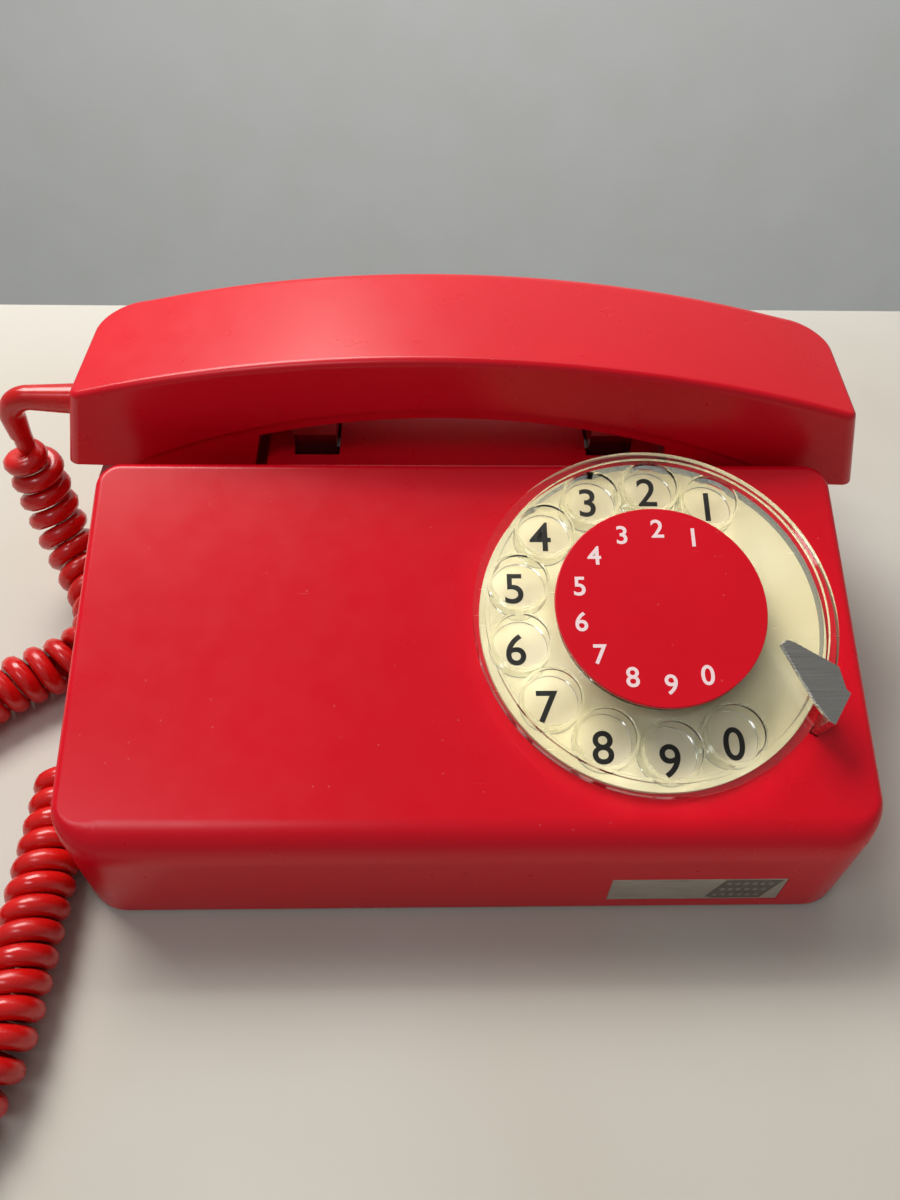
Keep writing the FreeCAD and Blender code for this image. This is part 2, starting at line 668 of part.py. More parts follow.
def make_works_frame():
    """Front plate with its bush, back plate and the pillars between them."""
    idler, governor = gear_places()
    plate = disc_shape(size("works_radius"), size(FRAME_LOW), size(FRAME_TOP))
    bush_low = size(FRAME_LOW + " - bush_length")
    bush_high = size("number_plate_thickness + 0.4")
    bush = disc_shape(size("bush_radius"), bush_low, bush_high)
    anchor = disc_shape(0.9, size(FRAME_LOW) - 4.2, size(FRAME_LOW) + 0.5, spring_end())
    bore = size("shaft_radius + running_gap")
    plate = plate.fuse([bush, anchor])
    plate = plate.cut(disc_shape(bore, bush_low - 1, bush_high + 1))
    arbor = size("arbor_radius + running_gap")
    for place in (idler, governor):
        plate = plate.cut(disc_shape(arbor, size(FRAME_LOW) - 1, size(FRAME_TOP) + 1, place))
    for angle in DIAL_SCREW_ANGLES:
        x, y = (size(formula) for formula in ring_place("dial_screw_ring", angle))
        tool = disc_shape(size("dial_screw_radius + 0.15"), size(FRAME_LOW) - 1, 0,
                          Vector(x, y, 0))
        plate = plate.cut(tool)
    piece("dial_frame", on_face(shape_feature("dial_frame", plate.removeSplitter())))
    back_low = size(BACK_TOP + " - works_plate")
    back = disc_shape(size("back_radius"), back_low, size(BACK_TOP))
    back = back.cut(disc_shape(bore, back_low - 1, size(BACK_TOP) + 1))
    for place in (idler, governor):
        back = back.cut(disc_shape(arbor, back_low - 1, size(BACK_TOP) + 1, place))
    piece("dial_back_plate", on_face(shape_feature("dial_back_plate", back)))
    pillars = [rod("pillar_%d" % number, "pillar_radius", "works_depth",
                   *ring_place("pillar_ring", angle), BACK_TOP)
               for number, angle in enumerate(PILLAR_ANGLES)]
    piece("dial_pillars", on_face(group("dial_pillars", pillars)))
    screws = []
    for number, angle in enumerate(DIAL_SCREW_ANGLES):
        place = ring_place("dial_screw_ring", angle)
        head = rod("works_screw_head_%d" % number, "dial_screw_head", "1.2", *place,
                   FRAME_LOW + " - 1.2")
        shank = rod("works_screw_shank_%d" % number, "dial_screw_radius",
                    "works_plate + wall - 0.7", *place, FRAME_LOW + " - 0.1")
        screws.append(join("works_screw_%d" % number, [head, shank]))
    piece("dial_screws", on_face(group("dial_screws", screws)))


SPRING_TURNS = 3.5
SPRING_INSIDE, SPRING_PITCH, SPRING_STRIP = 6.3, 1.7, 0.45


def spiral_point(turns, offset):
    radius = SPRING_INSIDE + SPRING_PITCH * turns + offset
    angle = 2 * math.pi * turns
    return Vector(radius * math.cos(angle), radius * math.sin(angle), 0)


def spring_end():
    """Centre of the anchor pin at the outer end of the return spring."""
    return spiral_point(SPRING_TURNS, SPRING_STRIP + 0.95)


def make_return_spring():
    """Flat spiral spring that turns the dial back."""
    steps = 140
    inner = [spiral_point(SPRING_TURNS * k / steps, 0) for k in range(steps + 1)]
    outer = [spiral_point(SPRING_TURNS * k / steps, SPRING_STRIP) for k in range(steps + 1)]
    low = size(FRAME_LOW) - 4.0
    points = [point + Vector(0, 0, low) for point in inner + outer[::-1]]
    strip = Part.Face(Part.makePolygon(points + [points[0]]))
    piece("return_spring", on_face(shape_feature("return_spring", strip.extrude(Vector(0, 0, 3)))))


def make_gear_train():
    """Main gear, idler and governor, in mesh at rest."""
    idler, governor = gear_places()
    top = size(FRAME_LOW)
    width = size("gear_width")
    main_low = top - size("main_gear_drop") - width
    idler_low = top - size("idler_drop") - width
    idler_angle, governor_angle = size("idler_angle"), size("governor_angle")
    arbor = size("arbor_radius")
    main = gear_shape(MAIN_TEETH, idler_angle, Vector(), main_low, width,
                      size("shaft_radius + 0.02"))
    collar = disc_shape(5.2, main_low - 1.6, main_low).cut(
        disc_shape(size("shaft_radius + 0.02"), main_low - 2, main_low + 1))
    piece("main_gear", on_face(shape_feature("main_gear", main.fuse(collar).removeSplitter())))
    half_tooth = 180 / PINION_TEETH
    pinion = gear_shape(PINION_TEETH, idler_angle + 180 + half_tooth, idler, main_low - 0.4,
                        width + 0.8, arbor - 0.2)
    rod_low, rod_high = size(BACK_TOP) - 1.1, top + 1.1
    pinion = pinion.fuse(disc_shape(arbor, rod_low, rod_high, idler)).removeSplitter()
    piece("idler_pinion", on_face(shape_feature("idler_pinion", pinion)))
    wheel = gear_shape(IDLER_TEETH, governor_angle, idler, idler_low, width, arbor + 0.02)
    collar = disc_shape(3.0, idler_low + width, main_low - 0.45, idler).cut(
        disc_shape(arbor + 0.02, idler_low, top, idler))
    piece("idler_wheel", on_face(shape_feature("idler_wheel", wheel.fuse(collar).removeSplitter())))
    spindle = gear_shape(PINION_TEETH, governor_angle + 180 + half_tooth, governor,
                         idler_low - 0.4, width + 0.8, arbor - 0.2)
    carrier = disc_shape(3.4, size(BACK_TOP) + 1.6, size(BACK_TOP) + 5.0, governor)
    spindle = spindle.fuse([disc_shape(arbor, rod_low, rod_high, governor), carrier])
    piece("governor_spindle", on_face(shape_feature("governor_spindle",
                                                    spindle.removeSplitter())))
    inside = size("cup_radius - cup_wall")
    ring = disc_shape(inside - 0.4, size(BACK_TOP) + 1.9, size(BACK_TOP) + 4.7, governor)
    ring = ring.cut(disc_shape(3.45, size(BACK_TOP), size(BACK_TOP) + 9, governor))
    slot = Part.makeBox(40, 3.6, 20, governor + Vector(-20, -1.8, size(BACK_TOP)))
    piece("governor_weights", on_face(shape_feature("governor_weights", ring.cut(slot))))
    cup = disc_shape(size("cup_radius"), size(BACK_TOP), size(BACK_TOP + " + cup_depth"),
                     governor)
    cup = cup.cut(disc_shape(inside, size(BACK_TOP + " + cup_wall"), 0, governor))
    cup = cup.cut(disc_shape(arbor + 0.4, size(BACK_TOP) - 1, 0, governor))
    piece("governor_cup", on_face(shape_feature("governor_cup", cup)))


def make_impulse_parts():
    """Lobed cam on the dial shaft and the blade contacts beside it."""
    top = size(FRAME_LOW + " - cam_drop")
    radius = size("cam_radius")
    cam = disc_shape(radius - 1.6, top - 1.6, top)
    for number in range(10):
        angle = math.radians(size("hole_first") + number * size("hole_pitch"))
        centre = Vector(math.cos(angle), math.sin(angle), 0) * (radius - 1.5)
        cam = cam.fuse(disc_shape(1.5, top - 1.6, top, centre))
    bore = disc_shape(size("shaft_radius + 0.02"), top - 3, top + 3)
    collar = disc_shape(5.0, top, top + 1.6)
    piece("impulse_cam", on_face(shape_feature(
        "impulse_cam", cam.fuse(collar).cut(bore).removeSplitter())))
    back = size(BACK_TOP)
    near = -(radius + 0.8)
    stack = Part.makeBox(9, 7.5, top + 0.6 - back, Vector(12, near - 6.3, back))
    blades = [Part.makeBox(19, 0.3, 2.4, Vector(-7, near - 0.3 - 1.5 * k, top - 2.0))
              for k in range(3)]
    for blade in blades:
        reach = blade.copy()
        reach.translate(Vector(14, 0, 0))
        stack = stack.cut(Part.makeBox(30, 0.34, 2.44, Vector(
            -7, reach.BoundBox.YMin - 0.02, top - 2.02)))
    blades = [blade.fuse(Part.makeBox(7, 0.3, 2.4, Vector(
        12, blade.BoundBox.YMin, top - 2.0))).removeSplitter() for blade in blades]
    piece("contact_stack", on_face(shape_feature("contact_stack", stack)))
    piece("impulse_blades", on_face(shape_feature("impulse_blades", Part.makeCompound(blades))))


# ---------------------------------------------------------------- hook switch

POST_TOP = "(grip_seam - grip_lip - (hook_spread + post_width/2 + 1)^2/(2*seam_arc) - 1.0)"
YOKE_TOP = "(cradle_floor - wall - hook_travel - yoke_gap)"
SPRING_FOOT = "(cradle_floor - wall - hook_travel - yoke_gap - yoke_thickness - spring_length)"


def make_hook():
    """Two clear posts on one yoke, pushed up by springs when the handset is lifted."""
    posts = []
    springs = []
    rods = []
    for side in (-1, 1):
        x = "%d*hook_spread" % side
        posts.append(middle_block("hook_post_%d" % (side + 1), x, "hook_y", YOKE_TOP,
                                  "post_width", "post_depth", POST_TOP + " - " + YOKE_TOP))
        rods.append(rod("hook_guide_%d" % (side + 1), "2", "spring_length - 8", x, "hook_y",
                        SPRING_FOOT))
        helix = Part.makeHelix(size("(spring_length - spring_wire)/7"),
                               size("spring_length - spring_wire"), size("spring_radius"))
        ring = Part.Wire(Part.makeCircle(size("spring_wire/2"), Vector(
            size("spring_radius"), 0, 0), Y_AXIS))
        coil = Part.Wire(helix.Edges).makePipeShell([ring], True, True)
        coil.translate(Vector(size(x), size("hook_y"), size(SPRING_FOOT + " + spring_wire/2")))
        springs.append(coil)
    piece("hook_posts", group("hook_posts", posts))
    yoke = middle_block("yoke_bar", "0", "hook_y", YOKE_TOP + " - yoke_thickness",
                        "2*hook_spread + post_width", "post_depth - 4", "yoke_thickness")
    piece("hook_yoke", yoke)
    piece("hook_springs", shape_feature("hook_springs", Part.makeCompound(springs)))
    shelf = middle_block("hook_shelf", "0", "hook_y", SPRING_FOOT + " - 2",
                         "2*hook_spread + post_width", "post_depth - 2", "2")
    legs = [middle_block("hook_leg_%d" % (side + 1), "%d*(hook_spread - 8)" % side, "hook_y",
                         BASE_TOP, "2.4", "post_depth - 2",
                         SPRING_FOOT + " - 2 - " + BASE_TOP) for side in (-1, 1)]
    feet = [middle_block("hook_leg_foot_%d" % (side + 1), "%d*(hook_spread - 12)" % side,
                         "hook_y", BASE_TOP, "9", "post_depth - 2", "2") for side in (-1, 1)]
    piece("hook_bracket", join("hook_bracket", [shelf] + legs + feet + rods))
    base = middle_block("switch_block", "0", "hook_y", SPRING_FOOT, "20", "8", "9")
    leaves = []
    for number in range(3):
        leaves.append(middle_block("switch_leaf_%d" % number, "0", "hook_y - 3 + 3*%d" % number,
                                   SPRING_FOOT + " + 9", "4", "0.4",
                                   "spring_length - yoke_gap - 9.4"))
    piece("hook_switch", base)
    piece("hook_leaves", group("hook_leaves", leaves))


# ---------------------------------------------------------------- ringer

def make_ringer():
    """Two gongs on posts, a coil pair on a yoke and a pivoting clapper between the gongs."""
    gongs = []
    posts = []
    screws = []
    for side in (-1, 1):
        x = "ringer_x + %d*gong_spread" % side
        outer = cone("gong_outer_%d" % (side + 1), "gong_radius", "gong_radius - 5",
                     "gong_height", x, "ringer_y", "gong_z")
        inner = cone("gong_inner_%d" % (side + 1), "gong_radius - 1.2", "gong_radius - 6.2",
                     "gong_height", x, "ringer_y", "gong_z - 1.2")
        hole = rod("gong_hole_%d" % (side + 1), "1.6", "60", x, "ringer_y", "0")
        gongs.append(cut("gong_%d" % (side + 1), outer, inner, hole))
        posts.append(cone("gong_post_%d" % (side + 1), "4.5", "3.2",
                          "gong_z + gong_height - 1.2 - " + BASE_TOP, x, "ringer_y", BASE_TOP))
        head = rod("gong_screw_head_%d" % (side + 1), "3.2", "1.6", x, "ringer_y",
                   "gong_z + gong_height")
        shank = rod("gong_screw_shank_%d" % (side + 1), "1.45", "gong_height", x, "ringer_y",
                    "gong_z + 0.5")
        screws.append(join("gong_screw_%d" % (side + 1), [head, shank]))
        bore = rod("gong_post_bore_%d" % (side + 1), "1.5", "60", x, "ringer_y", "gong_z")
        posts[-1] = cut("gong_stand_%d" % (side + 1), posts[-1], bore)
    piece("gong_left", gongs[0])
    piece("gong_right", gongs[1])
    piece("gong_posts", group("gong_posts", posts))
    piece("gong_screws", group("gong_screws", screws))
    cores = []
    coils = []
    for side in (-1, 1):
        x = "ringer_x + %d*coil_spread" % side
        cores.append(rod("ringer_core_%d" % (side + 1), "3", "core_height", x, "ringer_y",
                         BASE_TOP + " + 2"))
        coil = rod("coil_%d" % (side + 1), "coil_radius", "core_height - 5", x, "ringer_y",
                   BASE_TOP + " + 3")
        coils.append(cut("ringer_coil_%d" % (side + 1), coil, rod(
            "coil_bore_%d" % (side + 1), "3.02", "60", x, "ringer_y", "0")))
    bar = middle_block("ringer_bar", "ringer_x", "ringer_y", BASE_TOP,
                       "2*coil_spread + 12", "12", "2")
    stand = middle_block("ringer_stand", "ringer_x", "ringer_y", BASE_TOP, "5", "12",
                         CLAPPER_Z + " + 3 - " + BASE_TOP)
    pivot = rod("ringer_pivot_hole", "pivot_radius + running_gap", "60", "ringer_x",
                "ringer_y - 30", CLAPPER_Z, ALONG_Y)
    slot = middle_block("ringer_slot", "ringer_x", "ringer_y", CLAPPER_Z + " - 2.4", "6", "7",
                        "9")
    piece("ringer_yoke", cut("ringer_yoke", join("ringer_frame", cores + [bar, stand]),
                             slot, pivot))
    piece("ringer_coils", group("ringer_coils", coils))
    axle = rod("clapper_axle", "pivot_radius", "12", "ringer_x", "ringer_y - 6", CLAPPER_Z,
               ALONG_Y)
    arm = middle_block("armature", "ringer_x", "ringer_y", CLAPPER_Z + " - 1",
                       "2*coil_spread + 5", "5.6", "2")
    wand = rod("clapper_wand", "0.9", "clapper_length", "ringer_x", "ringer_y", CLAPPER_Z)
    knob = doc.addObject("Part::Sphere", "clapper_knob")
    bind(knob, Radius="clapper_radius")
    put(knob, "ringer_x", "ringer_y", CLAPPER_Z + " + clapper_length")
    piece("clapper", join("clapper", [axle, arm, wand, knob]))


CLAPPER_Z = "(base_gap + base_floor + core_height + 4.4)"


# ---------------------------------------------------------------- electrics

def make_electrics():
    """Circuit board on pillars, transformer, capacitor and terminal block."""
    board_z = "(%s + 6)" % BASE_TOP
    board = middle_block("board_sheet", "board_x", "board_y", board_z, "board_length",
                         "board_depth", "1.6")
    stands = []
    screws = []
    holes = []
    for side_x in (-1, 1):
        for side_y in (-1, 1):
            x = "board_x + %d*(board_length/2 - 5)" % side_x
            y = "board_y + %d*(board_depth/2 - 5)" % side_y
            tag = "%d%d" % (side_x + 1, side_y + 1)
            stands.append(rod("board_stand_" + tag, "3", "6", x, y, BASE_TOP))
            holes.append(rod("board_hole_" + tag, "1.4", "60", x, y, "0"))
            head = rod("board_screw_head_" + tag, "2.6", "1.4", x, y, board_z + " + 1.6")
            screws.append(head)
    piece("circuit_board", cut("circuit_board", board, group("board_holes", holes)))
    piece("board_stands", group("board_stands", stands))
    piece("board_screws", group("board_screws", screws))
    top = "(%s + 1.6)" % board_z
    core = middle_block("coil_core", "board_x - 22", "board_y + 2", top, "22", "16", "18")
    winding = middle_block("coil_winding", "board_x - 22", "board_y + 2", top + " + 3", "14",
                           "22", "12")
    piece("induction_coil", join("induction_coil", [core, winding]))
    piece("capacitor", rod("capacitor", "6.5", "26", "board_x - 6", "board_y + 3",
                           top + " + 6.5", ALONG_X))
    strip = middle_block("terminal_strip", "board_x + 28", "board_y + 1", top, "9", "24", "9")
    heads = [rod("terminal_head_%d" % k, "1.8", "1.2", "board_x + 28",
                 "board_y - 7 + 8*%d" % k, top + " + 9") for k in range(3)]
    piece("terminal_block", strip)
    piece("terminal_screws", group("terminal_screws", heads))


# ---------------------------------------------------------------- handset, about its middle

SEAM_CENTRE = "(grip_seam - seam_arc)"


def rolled(name, radius, centre_z):
    """A long cylinder across the handset whose curve gives an arch along x."""
    return rod(name, radius, "handset_depth + 20", "0", "-handset_depth/2 - 10", centre_z,
               ALONG_Y)


def end_reach(height, inset="0"):
    """Half length of the handset at a height: its end faces lean out on the way down."""
    return "(handset_length/2 - (%s) - end_lean*(%s - end_seam))" % (inset, height)


def plan_block(name, inset, low, high):
    """Handset-shaped block: small corner radii at the front, large ones at the back."""
    item = outline_pad(name, "XZ_Plane", [
        ("-" + end_reach(low, inset), low),
        (end_reach(low, inset), low),
        (end_reach(high, inset), high),
        ("-" + end_reach(high, inset), high),
    ], "handset_depth - 2*(%s)" % inset)

    def corners(first, middle, last):
        if abs(first.z - last.z) < 0.01 or abs(first.y - last.y) > 0.01:
            return None
        side = "front_corner" if first.y < 0 else "rear_corner"
        return (max(size("%s - (%s)" % (side, inset)), 0.8),) * 2

    return round_edges(name + "_corners", item, corners)


def make_handset_shell():
    """Upper shell: arched top, end walls, open below along the curved seam."""
    block_item = plan_block("handset_outside", "0", "end_seam", "handset_top + 2")
    arch = overlap("handset_arch", block_item,
                   rolled("handset_top_roll", "top_arc", "handset_top - top_arc"))

    def top_edge(first, middle, last):
        height = [math.hypot(p.x, p.z - size("handset_top - top_arc")) for p in
                  (first, middle, last)]
        if any(abs(h - size("top_arc")) > 0.02 for h in height):
            return None
        radii = []
        for point in (first, last):
            radii.append(size("rear_edge") if point.y > size("handset_depth/2 - 0.5")
                         else size("front_edge"))
        return tuple(radii)

    smooth = round_edges("handset_smooth", arch, top_edge)
    inside = overlap("handset_inside_arch",
                     plan_block("handset_inside", "shell_wall", "end_seam - 5",
                                "handset_top + 2"),
                     rolled("handset_inside_roll", "top_arc - shell_wall",
                            "handset_top - top_arc"))
    shell = cut("handset_hollow", smooth, inside)
    shell = cut("handset_seamed", shell, rolled("handset_seam_roll", "seam_arc", SEAM_CENTRE))
    bosses = []
    bores = []
    for side in (-1, 1):
        x = "%d*handset_screw_x" % side
        boss = rod("handset_boss_%d" % (side + 1), "3.6", "handset_top - grip_seam", x, "0",
                   "grip_seam - handset_screw_x^2/(2*seam_arc) + 0.6")
        bosses.append(overlap("handset_boss_trim_%d" % (side + 1), boss, rolled(
            "handset_boss_roll_%d" % (side + 1), "top_arc - shell_wall/2",
            "handset_top - top_arc")))
        bores.append(rod("handset_bore_%d" % (side + 1), "1.33", "10", x, "0",
                         "grip_seam - 6"))
    sleeve_hole = rod("sleeve_hole", "sleeve_radius + 0.1", "20", "-handset_length/2 - 10",
                      "sleeve_y", "sleeve_z", ALONG_X)
    shell = cut("handset_shell", join("handset_bossed", [shell] + bosses), *bores, sleeve_hole)
    piece("handset_shell", in_cradle(group("handset_shell_placed", [shell])))


def make_handset_inner():
    """Lower shell: thin grip under the arch and the two capsule cups."""
    profile = outline_pad("handset_lower", "XZ_Plane", [
        ("-handset_length/2 + 1.6", "end_seam"),
        ("-cup_out", "cup_floor"),
        ("cup_out", "cup_floor"),
        ("handset_length/2 - 1.6", "end_seam"),
        ("grip_half + 46", "end_seam"),
        ("grip_half + 46", "grip_seam + 3"),
        ("-grip_half - 46", "grip_seam + 3"),
        ("-grip_half - 46", "end_seam"),
    ], "handset_depth - 1.6")
    rounded = overlap("handset_lower_round", profile,
                      plan_block("handset_lower_plan", "0.8", "cup_floor - 2", "grip_seam + 6"))
    arch = overlap("handset_lower_arch", rounded,
                   rolled("lower_roll", "seam_arc - seat_gap", SEAM_CENTRE))
    gap = outline_pad("grip_gap", "XZ_Plane", [
        ("-cup_in", "cup_floor - 1"),
        ("cup_in", "cup_floor - 1"),
        ("grip_half", "grip_seam + 4"),
        ("-grip_half", "grip_seam + 4"),
    ], "handset_depth + 10")
    gap = overlap("grip_gap_arch", gap, rolled("grip_roll", "seam_arc - grip_lip", SEAM_CENTRE))
    tools = [gap]
    for side in (-1, 1):
        x = "%d*(cup_in + cup_out)/2" % side
        tools.append(rod("cup_bore_%d" % (side + 1), "capsule_radius + capsule_gap", "60", x,
                         "0", "cup_floor + shell_wall"))
        for number in range(7):
            angle = 60 * number
            ring = "0" if number == 6 else "6"
            tools.append(rod("sound_hole_%d_%d" % (side + 1, number), "1.2", "9",
                             "%s + (%s)*cos(%d)" % (x, ring, angle),
                             "(%s)*sin(%d)" % (ring, angle), "cup_floor - 3"))
    for side in (-1, 1):
        x = "%d*handset_screw_x" % side
        tools.append(rod("handset_screw_hole_%d" % (side + 1), "1.5", "30", x, "0",
                         "grip_seam - 15"))
        tools.append(rod("handset_screw_sink_%d" % (side + 1), "2.8", "15", x, "0",
                         HANDSET_HEAD + " - 15"))
    piece("handset_inner", in_cradle(group("handset_inner_placed", [
        cut("handset_inner", arch, *tools)])))
    screws = []
    for side in (-1, 1):
        x = "%d*handset_screw_x" % side
        head = rod("handset_screw_head_%d" % (side + 1), "2.5", "1.2", x, "0",
                   HANDSET_HEAD + " - 1.2")
        shank = rod("handset_screw_shank_%d" % (side + 1), "1.3", "6.5", x, "0",
                    HANDSET_HEAD + " - 0.1")
        screws.append(join("handset_screw_%d" % (side + 1), [head, shank]))
    piece("handset_screws", in_cradle(group("handset_screws", screws)))


HANDSET_HEAD = "(grip_seam - handset_screw_x^2/(2*seam_arc) - grip_lip + 1.6)"


def make_capsules():
    for node, side, depth in (("receiver_capsule", 1, "receiver_depth"),
                              ("transmitter_capsule", -1, "transmitter_depth")):
        x = "%d*(cup_in + cup_out)/2" % side
        can = rod(node + "_can", "capsule_radius", depth, x, "0", "cup_floor + shell_wall")
        rear = rod(node + "_rear", "capsule_radius - 6", "3", x, "0",
                   "cup_floor + shell_wall + " + depth)
        piece(node, in_cradle(group(node, [join(node + "_solid", [can, rear])])))


def make_sleeve():
    """Bent strain relief on the handset's left end."""
    inward = "(end_lean*(sleeve_radius + 1.6) + seat_gap)"
    start = Vector(-size("%s - shell_wall - %s" % (end_reach("sleeve_z"), inward)),
                   size("sleeve_y"), size("sleeve_z"))
    straight = size("sleeve_reach - sleeve_bend + shell_wall + " + inward)
    parts, tip = elbow_shape(start, straight, size("sleeve_radius"), size("sleeve_tip"),
                             size("sleeve_bend"), Vector(-1, 0, 0), Vector(0, 0, -1),
                             size("sleeve_drop"))
    collar = Part.makeCylinder(size("sleeve_radius + 1.6"), 1.5, start + Vector(1.5, 0, 0),
                               Vector(-1, 0, 0))
    sleeve = parts[0].fuse(parts[1:] + [collar]).removeSplitter()
    piece("cord_sleeve", in_cradle(group("cord_sleeve", [shape_feature("sleeve", sleeve)])))
    turn = Rotation(Vector(0, 0, -1), size("handset_yaw"))
    return turn.multVec(tip) + Vector(0, size("handset_y"), 0)


# ---------------------------------------------------------------- cord

CORD_ROUTE = [
    (-135.2, 37.4, 53.0), (-134.8, 36.5, 40.0), (-131.7, 31.0, 24.0), (-124.7, 20.5, 12.0),
    (-117.5, 9.0, 9.0), (-115.2, -3.0, 9.0), (-122.0, -12.5, 9.0), (-133.0, -18.5, 9.0),
    (-145.0, -27.5, 9.0), (-157.5, -39.0, 9.0), (-168.0, -55.0, 9.0), (-174.5, -74.0, 9.0),
    (-176.0, -95.0, 9.0), (-172.5, -116.0, 9.0), (-163.5, -135.0, 9.0), (-149.0, -149.5, 9.0),
    (-132.5, -153.0, 9.0), (-119.5, -145.0, 9.0), (-113.6, -130.0, 9.0), (-112.9, -111.0, 9.0),
    (-113.0, -92.0, 9.0), (-113.1, -74.0, 9.0), (-113.2, -60.0, 9.2), (-113.4, -48.0, 9.6),
]
COIL_SPLIT = 2


def bent_path(points, name):
    """Straight runs joined by tangent arcs, each as large as its two runs allow."""
    points = [Vector(*point) for point in points]
    edges = []
    start = points[0]
    radii = []
    for before, corner, after in zip(points, points[1:], points[2:]):
        inward = (before - corner).normalize()
        outward = (after - corner).normalize()
        half_turn = (math.pi - inward.getAngle(outward)) / 2
        shorter = min((before - corner).Length, (after - corner).Length)
        setback = 0.45 * shorter
        radii.append(setback / math.tan(half_turn))
        first = corner + inward * setback
        last = corner + outward * setback
        bisector = (inward + outward).normalize()
        centre = corner + bisector * (radii[-1] / math.cos(half_turn))
        middle = centre - bisector * radii[-1]
        edges.append(Part.LineSegment(start, first).toShape())
        edges.append(Part.Arc(first, middle, last).toShape())
        start = last
    edges.append(Part.LineSegment(start, points[-1]).toShape())
    print(name, "bend radii", [round(radius, 1) for radius in radii])
    return Part.Wire(edges)


def tube(points, diameter, name):
    path = bent_path(points, name)
    start = path.Edges[0].valueAt(path.Edges[0].FirstParameter)
    heading = path.Edges[0].tangentAt(path.Edges[0].FirstParameter)
    ring = Part.Wire(Part.makeCircle(diameter / 2, start, heading))
    solid = path.makePipeShell([ring], True, False)
    expected = math.pi * diameter ** 2 / 4 * path.Length
    if abs(solid.Volume - expected) > 0.01 * expected:
        raise RuntimeError(name + " has the wrong volume")
    print(name, "length", round(path.Length, 1))
    return solid


def make_cord(sleeve_tip):
    """Plain tubes in the place of the curly cord: drop, coil that hangs, coil that lies."""
    route = [Vector(*point) for point in CORD_ROUTE]
    split = (route[COIL_SPLIT] + route[COIL_SPLIT + 1]) * 0.5
    drop = Part.makeCylinder(size("cord_wire/2"), (sleeve_tip - route[0]).Length, route[0],
                             sleeve_tip - route[0])
    piece("cord_drop", shape_feature("cord_drop", drop))
    coil = size("cord_coil")
    piece("cord_hanging_coil", shape_feature("cord_hanging_coil", tube(
        route[:COIL_SPLIT + 1] + [split], coil, "hanging coil")))
    piece("cord_lying_coil", shape_feature("cord_lying_coil", tube(
        [split] + route[COIL_SPLIT + 1:], coil, "lying coil")))
    gland = Vector(size("-body_width/2 - gland_reach"),
                   size("gland_y - gland_bend - sleeve_drop"), size("gland_z"))
    tail = Part.makeCylinder(size("cord_wire/2"), (gland - route[-1]).Length, route[-1],
                             gland - route[-1])
    piece("cord_tail", shape_feature("cord_tail", tail))


# ---------------------------------------------------------------- build, check, write

make_top_shell()
make_base()
make_wall_fittings()
make_number_plate()
make_finger_wheel()
make_centre_disc()
make_dial_shaft()
make_finger_stop()
make_works_frame()
make_return_spring()
make_gear_train()
make_impulse_parts()
make_hook()
make_ringer()
make_electrics()
make_handset_shell()
make_handset_inner()
make_capsules()
make_cord(make_sleeve())
doc.recompute()

for item in doc.Objects:
    if "Invalid" in item.State or "Error" in item.State:
        raise RuntimeError("%s failed: %s" % (item.Name, item.State))
for item in PIECES:
    if item.Shape.isNull() or not item.Shape.isValid() or not item.Shape.Solids:
        raise RuntimeError(item.Label + " has no valid solid")

os.makedirs("parts", exist_ok=True)
for item in PIECES:
    item.Shape.exportStep(os.path.join("parts", item.Label + ".step"))
    box = item.Shape.BoundBox
    print("%-20s %2d solids %10.1f mm3  x %.1f..%.1f  y %.1f..%.1f  z %.1f..%.1f" % (
        item.Label, len(item.Shape.Solids), item.Shape.Volume, box.XMin, box.XMax,
        box.YMin, box.YMax, box.ZMin, box.ZMax))
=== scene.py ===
"""Desk telephone with a clear finger wheel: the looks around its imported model."""

